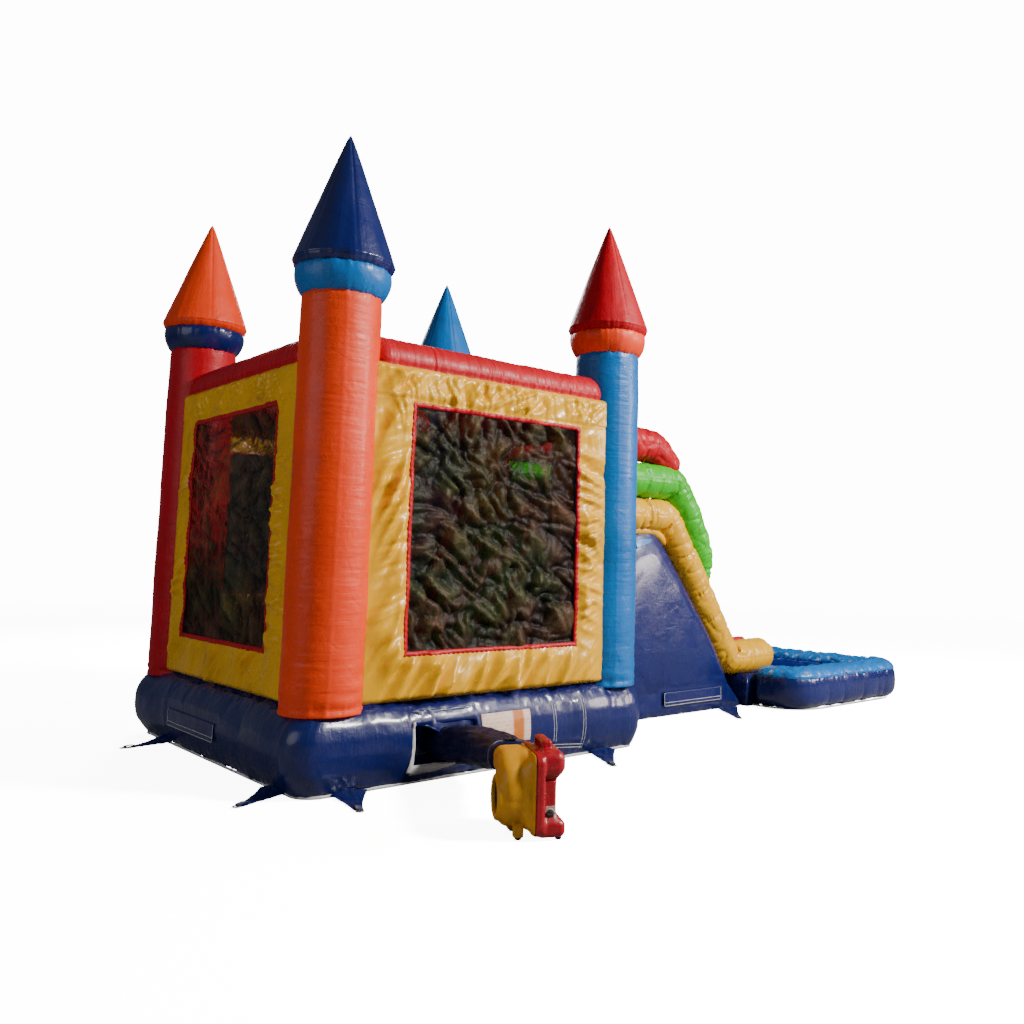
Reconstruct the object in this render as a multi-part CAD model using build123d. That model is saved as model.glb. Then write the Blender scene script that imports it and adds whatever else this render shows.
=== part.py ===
from build123d import *
import os
from math import cos, hypot, radians, sin, sqrt

# Inflatable castle bounce house with a slide, a splash pool and its blower.
# Millimetres. Origin: centre of the house base's underside. +Z up, +X towards
# the slide and pool, -Y towards the blower, -X is the rear, +Y the entrance.

# House
COLUMN_AXIS = 1250.0        # column axes stand at +-this in X and Y
COLUMN_R = 270.0
COLUMN_TOP = 3220.0
BASE_HALF = 1520.0
BASE_CORNER_R = 200.0
BASE_H = 545.0
BASE_TUCK = 60.0            # the bottom edge is tucked in by this, this high
RING_W = 360.0              # width of the base's outer tube
GROUND_SHEET_T = 5.0
FLOOR_H = 500.0
FLOOR_T = 200.0
SOFT_GAP = 1.0              # between neighbouring soft chambers
CLEAR = 0.2                 # between a small part and the skin it sits on

# Turrets
BAND_TOP = 3400.0
BAND_R_TOP = 327.0
SHOULDER_Z = 3440.0
CONE_R = 330.0
CONE_TIP_Z = 4400.0
CONE_TIP_R = 12.0

# Top tubes and side sheets
BEAM_R = 170.0
BEAM_Z = 2840.0
BEAM_OUT = 20.0             # tube axis lies this far outside the column axes
SHEET_OUT = 190.0           # outer face of the side sheets, from the column axes
SHEET_T = 4.0
MESH_T = 2.0
SHEET_TOP = 2790.0
WINDOW_HALF = 765.0
WINDOW_Z = (850.0, 2540.0)
SMALL_WINDOW_X = (-880.0, -250.0)
SMALL_WINDOW_Z = (1150.0, 2400.0)
DOOR_X = (-100.0, 800.0)
DOOR_TOP = 2200.0
SLIDE_DOOR_HALF = 340.0
SLIDE_DOOR_TOP = 2600.0

# Entrance step
STEP_X = (-250.0, 950.0)
STEP_DEPTH = 800.0
STEP_H = 360.0
STEP_TOE = 160.0

# Slide
RAIL_R = 160.0
RAIL_Y = 490.0
RAIL_START = 1465.0
DECK_Z = 1850.0
YELLOW_Z = 1950.0
YELLOW_KNEE_X = 2810.0
YELLOW_FOOT = (3790.0, 490.0)
YELLOW_END_X = 4390.0
YELLOW_BEND_R = 350.0
GREEN_R = 148.0
GREEN_Z = 2305.0
GREEN_BESIDE = 310.0        # its sloping leg lies this far from the yellow tube's axis
GREEN_SLOPE = 830.0         # length of that leg
GREEN_BEND_R = 260.0
RED_R = 165.0
RED_Z = 2640.0
RED_END_X = 2800.0
BODY_HALF = 650.0
BODY_START = 1545.0
BODY_END = 3940.0
BODY_WALL = 120.0
BODY_KNEE = 110.0           # the chamber's upper edge is cut off over this length each way
BODY_HOLLOW = [(2640.0, 1580.0), (3520.0, 300.0)]   # top and front of the underside recess
BED_T = 60.0
BUMPER_W = 110.0
BUMPER_X = (3900.0, 4430.0)
BUMPER_Z = (395.0, 680.0)

# Climbing wall in the house
CLIMB_FOOT_X = 560.0
CLIMB_TOP_X = 1050.0
CLIMB_END_X = 1432.0
CLIMB_HALF = 560.0
CLIMB_TUBE_R = 80.0
CLIMB_TUBE_RISE = 0.12      # the edge bolsters start this share of the way up the climb
GRIP_ROWS = 5
GRIP_R = 55.0
GRIP_H = 45.0
GRIP_DRAFT = 20.0
GRIP_Y = (-330.0, 110.0)    # grips of one row
GRIP_SHIFT = 110.0          # every other row moves over by this

# Pool
POOL_X = (3950.0, 6080.0)
POOL_HALF = 1320.0
POOL_CORNER_R = 420.0
POOL_INNER_R = 240.0
POOL_WALL_W = 360.0
POOL_WALL_H = 300.0
POOL_RIM_TOP = 410.0
POOL_FLOOR_T = 40.0
POOL_MOUTH_HALF = 690.0
POOL_RIM_INSET = 10.0

# Trim
HEM_T = 4.0
HEM_H = 45.0
HEM_LIFT = 1.0
EYELET_R = 15.0
EYELET_OUT_R = 28.0
EYELET_T = 8.0
TAB_T = 4.0
TAB_ROOT_W = 250.0
TAB_TIP_W = 56.0
TAB_START = 8.0             # outside its root point
TAB_SHORT = 8.3             # between its tip and the eyelet
# (root x, root y), (eyelet x, eyelet y) of each ground anchor
ANCHORS = [
    ((-1462, 900), (-1806, 811)),
    ((-1462, -1130), (-1808, -1340)),
    ((-1150, -1462), (-1290, -1870)),
    ((1040, -1462), (760, -1900)),
    ((-1150, 1462), (-1290, 1870)),
    ((1110, 1462), (1250, 1870)),
    ((3600, -655), (3200, -1150)),
    ((3600, 655), (3200, 1150)),
]

# Deflation zips: a tape, a slider and a cover flap hinged along its top edge
ZIP_H = 24.0
ZIP_T = 2.0
ZIP_END = 20.0              # the tape stops this far inside the flap
SLIDER = (30.0, 7.0, 18.0)
SLIDER_AT = 40.0
SLIDER_LIFT = 0.5           # off the tape
FLAP_T = 3.0
FLAP_GAP = 12.0             # from the wall to the flap's inner face
FLAP_H = 130.0
REAR_ZIP_Y = (-220.0, 690.0)
REAR_ZIP_Z = 300.0
SLIDE_ZIP_X = (2650.0, 3510.0)
SLIDE_ZIP_Z = 235.0

# Blower: local X along the outlet, local Y along the shaft to the inlet
BLOWER_AT = (-785.0, -2822.0)
BLOWER_TURN = 63.0
HUB_Z = 205.0
SHELL = 8.0
INLET_SIDE = 180.0
MOTOR_SIDE = 50.0
HALF_GAP = 0.3              # between the two housing halves
INLET_R = 85.0
INLET_RING_R = 107.0
INLET_RING_H = 14.0
DUCT_END = 250.0
DUCT_LIP = 40.0             # the outlet is opened over this length
DUCT_Z = (290.0, 440.0)
DUCT_BACK = 140.0           # where the duct's underside meets the snail
# the snail's reach from the hub: down, towards -X and towards +X
SNAIL_DOWN = 180.0
SNAIL_FRONT = 155.0
SNAIL_BACK = 150.0
SNAIL_FRONT_RISE = 10.0     # its widest point lies this far above the hub
SNAIL_LOW_FRONT = (-110.0, -127.0)
SNAIL_HIGH_FRONT = (-110.0, 168.0)
SNAIL_LOW_BACK = (106.0, -127.0)
DIAGONAL = 0.7              # share of a growth that goes to X and Z on the diagonals
FLANGE_W = 12.0
FLANGE_T = 10.0
FOOT_X = (-90.0, 80.0)
FOOT_HALF = 25.0
FOOT_Y = (55.0, 105.0)
FOOT_Z = (12.0, 90.0)

# Motor half, in the blower frame: (low, high) of each moulded volume
GRIP_BOX = ((-150.0, 150.0), -165.0, (331.0, 463.0))
WAIST_BOX = ((-120.0, 120.0), -122.0, (90.0, 340.0))
BACK_FOOT_BOX = ((-155.0, 155.0), -168.0, (12.0, 100.0))
HANDLE_X = (-60.0, 150.0)
HANDLE_Y = (-105.0, -55.0)
HANDLE_Z = (462.0, 505.0)
HANDLE_GAP_X = (-35.0, 125.0)
HANDLE_GAP_Z = (463.0, 487.0)

# Motor and wheel
SHAFT_R = 8.0
SHAFT_Y = (-110.0, 130.0)
RUNNING = 0.05
MOTOR_R = 70.0
MOTOR_LEN = 72.0
MOTOR_BACK = -112.0
MOTOR_BORE_BACK = -114.0
MOTOR_BORE_CLEAR = 2.0
GROOVE_R = 5.0
GROOVE_Y = (-100.0, -55.0)
GROOVE_STEP = 30
IMPELLER_R = 125.0
IMPELLER_RING_R = 94.0
IMPELLER_W = 105.0
IMPELLER_LOW = -30.0
IMPELLER_PLATE_T = 4.0
IMPELLER_HUB_R = 22.0
IMPELLER_HUB_W = 45.0
BLADES = 20
BLADE_T = 3.0
BLADE_IN_R = 96.0

# Inlet guard, switch, pads and screws
GUARD_Y = (178.0, 183.0)
GUARD_EDGE = 6.0
GUARD_WIRE = 4.0
GUARD_RINGS = (60.0, 40.0, 20.0)
GUARD_TURNS = (0, 45, 90, 135)
KNOB_Y = -84.0
KNOB_Z = 131.0
KNOB_SEAT = -120.0          # face of the waist that carries the switch
KNOB_R = 22.0
KNOB_H = 16.0
KNOB_BAR_HALF = 5.0
KNOB_BAR_SHORT = 3.0        # the grip bar stops this far inside the knob's edge
KNOB_STEM_R = 5.0
KNOB_STEM_IN = 16.0
KNOB_BORE_IN = 20.0
KNOB_GAP = 0.3
PAD_R = 18.0
PAD_H = 12.0
PAD_AT = ((-90, 80), (80, 80), (-120, -135), (120, -135))
SCREW_R = 2.5
SCREW_CLEAR = 0.1
SCREW_HEAD_H = 3.0
SCREW_IN = 9.0
SCREW_PLACES = ((-157.0, -52.0), (-163.0, 45.0), (185.0, 241.0), (200.0, 79.0))   # X and Z from the hub

# Inflation sleeve
SLEEVE_R = (110.0, 160.0)
SLEEVE_START = 22.0
SLEEVE_RUN_ON = 150.0       # the cone is drawn on past the base, then trimmed at its skin
SLEEVE_MOUTH_GAP = 2.0
SLEEVE_AT_BASE = (-260.0, 250.0)   # x and z where the sleeve meets the base
STRAP_AT = 64.0
STRAP_W = 45.0
STRAP_R = (115.0, 120.0)
OVER = 1.0                  # how far a cutter passes the face it cuts


def save(node, shape):
    """One STEP file per node."""
    export_step(shape, f"parts/{node}.step")


def block(x, y, z):
    """Box from (low, high) pairs."""
    size = (x[1] - x[0], y[1] - y[0], z[1] - z[0])
    middle = ((x[0] + x[1]) / 2, (y[0] + y[1]) / 2, (z[0] + z[1]) / 2)
    return Pos(*middle) * Box(*size)


def rounded_slab(half_x, half_y, radius, low, high, centre_x=0.0):
    """Slab with rounded plan corners."""
    plan = Pos(centre_x, 0, low) * RectangleRounded(2 * half_x, 2 * half_y, radius)
    return extrude(plan, high - low)


def rod(start, end, radius):
    """Cylinder between two points."""
    way = Vector(*end) - Vector(*start)
    plane = Plane(origin=start, z_dir=way)
    return extrude(plane * Circle(radius), way.length)


def side_profile(points, low_y, high_y):
    """Closed outline of (x, z) points, extruded along Y."""
    face = make_face(Polyline(*[(x, low_y, z) for x, z in points], close=True))
    return extrude(face, high_y - low_y, dir=(0, 1, 0))


def bent_tube(points, bends, y, radius):
    """Round tube along (x, z) points with arcs at its bends and a domed lower end."""
    corners = [(x, y, z) for x, z in points]
    path = FilletPolyline(*corners, radius=bends) if bends else Line(*corners)
    start = Plane(origin=path @ 0, z_dir=path % 0)
    tube = sweep(start * Circle(radius), path=path)
    dome = Plane(origin=path @ 1, z_dir=path % 1) * Sphere(radius, arc_size1=0)
    return tube + dome


# ---------------------------------------------------------------- the house

def base_ring():
    """Outer tube of the base, tucked in at the ground, with the ground sheet."""
    body = rounded_slab(BASE_HALF, BASE_HALF, BASE_CORNER_R, BASE_TUCK, BASE_H)
    foot_half = BASE_HALF - BASE_TUCK
    foot = rounded_slab(foot_half, foot_half, BASE_CORNER_R - BASE_TUCK, 0, BASE_TUCK)
    inner = BASE_HALF - RING_W
    return body + foot - block((-inner, inner), (-inner, inner), (GROUND_SHEET_T, BASE_H + OVER))


def bounce_floor():
    half = BASE_HALF - RING_W - SOFT_GAP
    return block((-half, half), (-half, half), (FLOOR_H - FLOOR_T, FLOOR_H))


def column(x, y):
    return rod((x, y, BASE_H + SOFT_GAP), (x, y, COLUMN_TOP), COLUMN_R)


def cap_band(x, y):
    """Flared band between a column and its cone."""
    low = COLUMN_TOP + SOFT_GAP
    outline = [(0, low), (COLUMN_R, low), (BAND_R_TOP, BAND_TOP), (0, BAND_TOP)]
    return Pos(x, y, 0) * revolve(make_face(Polyline(*[(r, 0, z) for r, z in outline], close=True)), Axis.Z)


def cone(x, y):
    """Pointed roof with a short rounded shoulder."""
    low = BAND_TOP + SOFT_GAP
    outline = [(0, low), (BAND_R_TOP, low), (CONE_R, SHOULDER_Z), (CONE_TIP_R, CONE_TIP_Z), (0, CONE_TIP_Z)]
    return Pos(x, y, 0) * revolve(make_face(Polyline(*[(r, 0, z) for r, z in outline], close=True)), Axis.Z)


def top_tube(side):
    """Tube between two columns, cut back to clear them."""
    out = COLUMN_AXIS + BEAM_OUT
    ends = COLUMN_R + 2 * SOFT_GAP
    half = COLUMN_AXIS
    tube = rod((-half, -out, BEAM_Z), (half, -out, BEAM_Z), BEAM_R)
    for x in (-COLUMN_AXIS, COLUMN_AXIS):
        tube -= rod((x, -COLUMN_AXIS, BEAM_Z - 2 * BEAM_R), (x, -COLUMN_AXIS, BEAM_Z + 2 * BEAM_R), ends)
    return Rot(0, 0, side) * tube


def sheet_half():
    """Half width of a side sheet: it stops at the columns' skin."""
    return COLUMN_AXIS - sqrt(COLUMN_R**2 - (SHEET_OUT - SHEET_T) ** 2) - 3 * SOFT_GAP


def side_sheet(holes):
    """Vinyl sheet on the -Y side with its openings cut out."""
    face = -(COLUMN_AXIS + SHEET_OUT)
    half = sheet_half()
    sheet = block((-half, half), (face, face + SHEET_T), (BASE_H + SOFT_GAP, SHEET_TOP))
    for x, z in holes:
        sheet -= block(x, (face - OVER, face + SHEET_T + OVER), z)
    return sheet


def mesh_window(x, z):
    """Netting panel that fills a window on the -Y side."""
    middle = -(COLUMN_AXIS + SHEET_OUT) + SHEET_T / 2
    inside_x = (x[0] + SOFT_GAP, x[1] - SOFT_GAP)
    inside_z = (z[0] + SOFT_GAP, z[1] - SOFT_GAP)
    return block(inside_x, (middle - MESH_T / 2, middle + MESH_T / 2), inside_z)


def entrance_step():
    """Inflated step outside the doorway, sloping down to a toe."""
    start = BASE_HALF + SOFT_GAP
    outline = [(start, 0), (start, STEP_H), (start + STEP_DEPTH / 3, STEP_H),
               (start + STEP_DEPTH, STEP_TOE), (start + STEP_DEPTH, 0)]
    face = make_face(Polyline(*[(STEP_X[0], y, z) for y, z in outline], close=True))
    return extrude(face, STEP_X[1] - STEP_X[0], dir=(1, 0, 0))


# ---------------------------------------------------------------- the slide

SLOPE = (YELLOW_FOOT[0] - YELLOW_KNEE_X, YELLOW_FOOT[1] - YELLOW_Z)
SLOPE_LEN = hypot(*SLOPE)
DOWN = (SLOPE[0] / SLOPE_LEN, SLOPE[1] / SLOPE_LEN)
OUT = (-DOWN[1], DOWN[0])


def beside_slope(offset):
    """Knee and foot of a line parallel to the yellow tube's axis, offset from it."""
    knee_z = YELLOW_Z + offset
    knee_x = YELLOW_KNEE_X + offset * (1 - OUT[1]) / OUT[0]
    foot_z = YELLOW_FOOT[1] + offset
    foot_x = knee_x + (knee_z - foot_z) * DOWN[0] / -DOWN[1]
    return (knee_x, knee_z), (foot_x, foot_z)


def yellow_rail(y):
    points = [(RAIL_START, YELLOW_Z), (YELLOW_KNEE_X, YELLOW_Z), YELLOW_FOOT, (YELLOW_END_X, YELLOW_FOOT[1])]
    return bent_tube(points, YELLOW_BEND_R, y, RAIL_R)


def green_rail(y):
    beside, _ = beside_slope(GREEN_BESIDE)
    back = (GREEN_Z - beside[1]) / DOWN[1]
    knee = (beside[0] + DOWN[0] * back, GREEN_Z)
    low = (knee[0] + DOWN[0] * GREEN_SLOPE, knee[1] + DOWN[1] * GREEN_SLOPE)
    return bent_tube([(RAIL_START, GREEN_Z), knee, low], GREEN_BEND_R, y, GREEN_R)


def red_rail(y):
    return bent_tube([(RAIL_START, RED_Z), (RED_END_X, RED_Z)], None, y, RED_R)


def slide_body():
    """Navy chamber under the deck, the bed and the rails."""
    under = -(RAIL_R + 2 * SOFT_GAP)
    knee, foot = beside_slope(under)
    cut = (knee[0] + BODY_KNEE * DOWN[0], knee[1] + BODY_KNEE * DOWN[1])
    outline = [(BODY_START, 0), (BODY_START, knee[1]), (knee[0] - BODY_KNEE, knee[1]), cut, foot,
               (BODY_END, foot[1]), (BODY_END, 0)]
    start = BODY_START + BODY_WALL
    top, front = BODY_HOLLOW
    hollow = [(start, -OVER), (start, top[1]), top, front, (front[0], -OVER)]
    half = BODY_HALF - BODY_WALL
    return side_profile(outline, -BODY_HALF, BODY_HALF) - side_profile(hollow, -half, half)


def slide_bed():
    """Deck and sliding lane between the rails."""
    low_offset = -RAIL_R
    high_offset = low_offset + BED_T
    knee_low, foot_low = beside_slope(low_offset)
    knee_high, foot_high = beside_slope(high_offset)
    outline = [(BODY_START, knee_low[1]), knee_low, foot_low, (BODY_END, foot_low[1]),
               (BODY_END, foot_high[1]), foot_high, knee_high, (BODY_START, knee_high[1])]
    half = RAIL_Y - RAIL_R - 2 * SOFT_GAP
    return side_profile(outline, -half, half)


def slide_end_bumpers():
    """Upright round-edged rolls at the foot of the lane, just inside each yellow rail."""
    high = RAIL_Y - RAIL_R - 2 * SOFT_GAP
    middle_z = (BUMPER_Z[0] + BUMPER_Z[1]) / 2
    rolls = []
    for y in (-high + BUMPER_W / 2, high - BUMPER_W / 2):
        plane = Plane(origin=(BUMPER_X[0], y, middle_z), x_dir=(0, 0, 1), z_dir=(1, 0, 0))
        section = plane * SlotOverall(BUMPER_Z[1] - BUMPER_Z[0], BUMPER_W)
        rolls.append(extrude(section, BUMPER_X[1] - BUMPER_X[0]))
    return Compound(children=rolls)


# ---------------------------------------------------------------- climbing wall

CLIMB_SLOPE = (CLIMB_TOP_X - CLIMB_FOOT_X, DECK_Z - FLOOR_H)


def climbing_wall():
    ring_inner = BASE_HALF - RING_W - SOFT_GAP
    top = BASE_H + SOFT_GAP
    outline = [(CLIMB_FOOT_X, FLOOR_H), (CLIMB_TOP_X, DECK_Z), (CLIMB_END_X, DECK_Z),
               (CLIMB_END_X, top), (ring_inner, top), (ring_inner, FLOOR_H)]
    return side_profile(outline, -CLIMB_HALF, CLIMB_HALF)


def climbing_side_tubes():
    """Bolsters along both edges of the climb."""
    tubes = []
    length = hypot(*CLIMB_SLOPE)
    way = (CLIMB_SLOPE[0] / length, CLIMB_SLOPE[1] / length)
    for side in (-1, 1):
        y = side * (CLIMB_HALF + CLIMB_TUBE_R + SOFT_GAP)
        start = (CLIMB_FOOT_X + CLIMB_TUBE_RISE * CLIMB_SLOPE[0], y,
                 FLOOR_H + CLIMB_TUBE_RISE * CLIMB_SLOPE[1])
        end = (start[0] + way[0] * length, y, start[2] + way[1] * length)
        tubes.append(rod(start, end, CLIMB_TUBE_R))
    return Compound(children=tubes)


def climbing_grips():
    """Domed grips in staggered rows on the climbing face."""
    length = hypot(*CLIMB_SLOPE)
    normal = (-CLIMB_SLOPE[1] / length, 0, CLIMB_SLOPE[0] / length)
    grips = []
    for row in range(GRIP_ROWS):
        share = (row + 1) / (GRIP_ROWS + 1)
        x = CLIMB_FOOT_X + share * CLIMB_SLOPE[0]
        z = FLOOR_H + share * CLIMB_SLOPE[1]
        shift = GRIP_SHIFT if row % 2 else 0.0
        for y in GRIP_Y:
            plane = Plane(origin=(x + normal[0] * CLEAR, y + shift, z + normal[2] * CLEAR), z_dir=normal)
            grips.append(extrude(plane * Circle(GRIP_R), GRIP_H, taper=GRIP_DRAFT))
    return Compound(children=grips)


# ---------------------------------------------------------------- pool

def pool_band(low, high, inset=0.0):
    """Rounded ring of the pool's wall, open where the slide comes in."""
    half_x = (POOL_X[1] - POOL_X[0]) / 2
    centre = (POOL_X[1] + POOL_X[0]) / 2
    outer = rounded_slab(half_x - inset, POOL_HALF - inset, POOL_CORNER_R, low, high, centre)
    inner = rounded_slab(half_x - POOL_WALL_W + inset, POOL_HALF - POOL_WALL_W + inset,
                         POOL_INNER_R, low - OVER, high + OVER, centre)
    gap = block((POOL_X[0] - OVER, POOL_X[0] + POOL_WALL_W + POOL_INNER_R),
                (-POOL_MOUTH_HALF, POOL_MOUTH_HALF), (low - OVER, high + OVER))
    return outer - inner - gap


def pool_floor():
    half_x = (POOL_X[1] - POOL_X[0]) / 2 - POOL_WALL_W - SOFT_GAP
    centre = (POOL_X[1] + POOL_X[0]) / 2
    half_y = POOL_HALF - POOL_WALL_W - SOFT_GAP
    return rounded_slab(half_x, half_y, POOL_INNER_R, 0, POOL_FLOOR_T, centre)


# ---------------------------------------------------------------- trim and zips

def ground_hem():
    """Grey strips round the foot of the base and the pool."""
    half = BASE_HALF - BASE_TUCK + SOFT_GAP
    radius = BASE_CORNER_R - BASE_TUCK
    base = rounded_slab(half + HEM_T, half + HEM_T, radius + HEM_T, HEM_LIFT, HEM_H)
    base -= rounded_slab(half, half, radius, 0, HEM_H + OVER)
    pool_half = (POOL_X[1] - POOL_X[0]) / 2 + SOFT_GAP
    centre = (POOL_X[1] + POOL_X[0]) / 2
    pool = rounded_slab(pool_half + HEM_T, POOL_HALF + SOFT_GAP + HEM_T, POOL_CORNER_R + HEM_T,
                        HEM_LIFT, HEM_H, centre)
    pool -= rounded_slab(pool_half, POOL_HALF + SOFT_GAP, POOL_CORNER_R, 0, HEM_H + OVER, centre)
    pool -= block((POOL_X[0] - POOL_WALL_W, POOL_X[0] + POOL_CORNER_R), (-POOL_MOUTH_HALF, POOL_MOUTH_HALF),
                  (0, HEM_H + OVER))
    return Compound(children=[base, pool])


def anchor_way(root, eye):
    span = Vector(eye[0] - root[0], eye[1] - root[1], 0)
    return span.normalized(), span.length


def anchor_tabs():
    """Tapered vinyl tabs that lie on the ground, each ending at its eyelet."""
    clear = BASE_HALF - BASE_TUCK + HEM_T + 2 * SOFT_GAP
    flat = (0, 2 * TAB_T)
    side = BODY_HALF + SOFT_GAP
    feet = block((-clear, clear), (-clear, clear), flat) + block((BODY_START, BODY_END), (-side, side), flat)
    tabs = []
    for root, eye in ANCHORS:
        way, length = anchor_way(root, eye)
        across = Vector(-way.Y, way.X, 0)
        start = Vector(root[0], root[1], 0) + way * TAB_START
        end = start + way * (length - EYELET_OUT_R - TAB_SHORT)
        corners = [start + across * (TAB_ROOT_W / 2), end + across * (TAB_TIP_W / 2),
                   end - across * (TAB_TIP_W / 2), start - across * (TAB_ROOT_W / 2)]
        outline = Polyline(*[(c.X, c.Y, 2 * HEM_LIFT) for c in corners], close=True)
        tabs.append(extrude(make_face(outline), TAB_T, dir=(0, 0, 1)) - feet)
    return Compound(children=tabs)


def anchor_eyelets():
    """Metal stake rings at the tabs' tips."""
    ring = extrude(Circle(EYELET_OUT_R) - Circle(EYELET_R), EYELET_T)
    return Compound(children=[Pos(x, y, 0) * ring for _, (x, y) in ANCHORS])


def zip_place(on_rear):
    """Frame of a deflation zip: local X along the zip, local Y out of the wall."""
    if on_rear:
        return Location((-BASE_HALF, REAR_ZIP_Y[0], REAR_ZIP_Z), (0, 0, 90)), REAR_ZIP_Y[1] - REAR_ZIP_Y[0]
    return Location((SLIDE_ZIP_X[1], -BODY_HALF, SLIDE_ZIP_Z), (0, 0, 180)), SLIDE_ZIP_X[1] - SLIDE_ZIP_X[0]


def zip_tape(on_rear):
    place, length = zip_place(on_rear)
    middle = -FLAP_H / 2
    tape = block((ZIP_END, length - ZIP_END), (CLEAR, CLEAR + ZIP_T),
                 (middle - ZIP_H / 2, middle + ZIP_H / 2))
    return place * tape


def zip_slider(on_rear):
    place, _ = zip_place(on_rear)
    middle = -FLAP_H / 2
    inner = ZIP_T + SLIDER_LIFT
    return place * block((SLIDER_AT, SLIDER_AT + SLIDER[0]), (inner, inner + SLIDER[1]),
                         (middle - SLIDER[2] / 2, middle + SLIDER[2] / 2))


def zip_flap(on_rear):
    """Cover flap that hangs from its top edge."""
    place, length = zip_place(on_rear)
    sheet = block((0, length), (FLAP_GAP, FLAP_GAP + FLAP_T), (-FLAP_H, 0))
    hinge = rod((0, FLAP_GAP + FLAP_T / 2, 0), (length, FLAP_GAP + FLAP_T / 2, 0), FLAP_T / 2)
    return place * (sheet + hinge)


# ---------------------------------------------------------------- blower

BLOWER = Location((BLOWER_AT[0], BLOWER_AT[1], 0), (0, 0, BLOWER_TURN))


def pushed(point, grow):
    """Diagonal point of the snail, given from the hub, moved outward by grow."""
    x, z = point
    step = DIAGONAL * grow
    return x + (step if x > 0 else -step), HUB_Z + z + (step if z > 0 else -step)


def scroll(grow, low_y, high_y):
    """Snail outline of the fan housing, grown by some millimetres, extruded along local Y."""
    bottom = (0, HUB_Z - SNAIL_DOWN - grow)
    front = (-SNAIL_FRONT - grow, HUB_Z + SNAIL_FRONT_RISE)
    top = (0, DUCT_Z[1] + grow)
    back = (SNAIL_BACK + grow, HUB_Z)
    arcs = [(bottom, pushed(SNAIL_LOW_FRONT, grow), front), (front, pushed(SNAIL_HIGH_FRONT, grow), top),
            (back, pushed(SNAIL_LOW_BACK, grow), bottom)]
    edges = [ThreePointArc(*[(x, low_y, z) for x, z in arc]) for arc in arcs]
    corners = [top, (DUCT_END, DUCT_Z[1] + grow), (DUCT_END, DUCT_Z[0] - grow),
               (DUCT_BACK + grow, DUCT_Z[0] - grow), back]
    edges += [Line((a[0], low_y, a[1]), (b[0], low_y, b[1])) for a, b in zip(corners, corners[1:])]
    return extrude(make_face(Wire(edges)), high_y - low_y, dir=(0, 1, 0))


def screw_places():
    """Flange screws on the snail's curved side and along the duct."""
    return [(x, HUB_Z + z) for x, z in SCREW_PLACES]


def local_rod(x, z, low_y, high_y, radius):
    return rod((x, low_y, z), (x, high_y, z), radius)


def hub_rod(low_y, high_y, radius):
    return local_rod(0, HUB_Z, low_y, high_y, radius)


def mouth(low_y, high_y):
    """Cutter that opens the duct's outlet end."""
    return block((DUCT_END - DUCT_LIP, DUCT_END + OVER), (low_y, high_y),
                 (DUCT_Z[0] + SHELL, DUCT_Z[1] - SHELL))


def inlet_housing():
    """Yellow half of the blower: snail shell with a raised inlet ring and two feet."""
    shell = scroll(0, 0, INLET_SIDE) + scroll(FLANGE_W, 0, FLANGE_T)
    shell += hub_rod(INLET_SIDE - OVER, INLET_SIDE + INLET_RING_H, INLET_RING_R)
    for x in FOOT_X:
        shell += block((x - FOOT_HALF, x + FOOT_HALF), FOOT_Y, FOOT_Z)
    shell -= scroll(-SHELL, -OVER, INLET_SIDE - SHELL)
    shell -= mouth(-OVER, INLET_SIDE - SHELL)
    shell -= hub_rod(INLET_SIDE - 2 * SHELL, INLET_SIDE + INLET_RING_H + OVER, INLET_R)
    for x, z in screw_places():
        shell -= local_rod(x, z, -OVER, FLANGE_T + OVER, SCREW_R + SCREW_CLEAR)
    return BLOWER * shell


def motor_housing():
    """Red half: back plate, motor waist, top grip and foot, in one moulding."""
    shell = scroll(FLANGE_W, -MOTOR_SIDE, -HALF_GAP)
    for x, back_y, z in (GRIP_BOX, WAIST_BOX, BACK_FOOT_BOX):
        shell += block(x, (back_y, -MOTOR_SIDE + OVER), z)
    shell += block(HANDLE_X, HANDLE_Y, HANDLE_Z)
    shell -= block(HANDLE_GAP_X, (HANDLE_Y[0] - OVER, HANDLE_Y[1] + OVER), HANDLE_GAP_Z)
    shell -= scroll(-SHELL, -MOTOR_SIDE + SHELL, OVER)
    shell -= mouth(-MOTOR_SIDE + SHELL, OVER)
    shell -= hub_rod(-MOTOR_SIDE + SHELL + OVER, MOTOR_BORE_BACK, MOTOR_R + MOTOR_BORE_CLEAR)
    for x, z in screw_places():
        shell -= local_rod(x, z, -MOTOR_SIDE - OVER, OVER, SCREW_R + SCREW_CLEAR)
    shell -= rod((KNOB_SEAT - OVER, KNOB_Y, KNOB_Z), (KNOB_SEAT + KNOB_BORE_IN, KNOB_Y, KNOB_Z),
                 KNOB_STEM_R + RUNNING)
    return BLOWER * shell


def blower_motor():
    """Round motor with cooling grooves and a bore for the shaft."""
    motor = hub_rod(MOTOR_BACK, MOTOR_BACK + MOTOR_LEN, MOTOR_R)
    reach = MOTOR_R + OVER
    for turn in range(0, 360, GROOVE_STEP):
        x = reach * cos(radians(turn))
        z = HUB_Z + reach * sin(radians(turn))
        motor -= local_rod(x, z, *GROOVE_Y, GROOVE_R)
    return BLOWER * (motor - hub_rod(MOTOR_BACK - OVER, 0, SHAFT_R + RUNNING))


def motor_shaft():
    return BLOWER * hub_rod(*SHAFT_Y, SHAFT_R)


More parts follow.
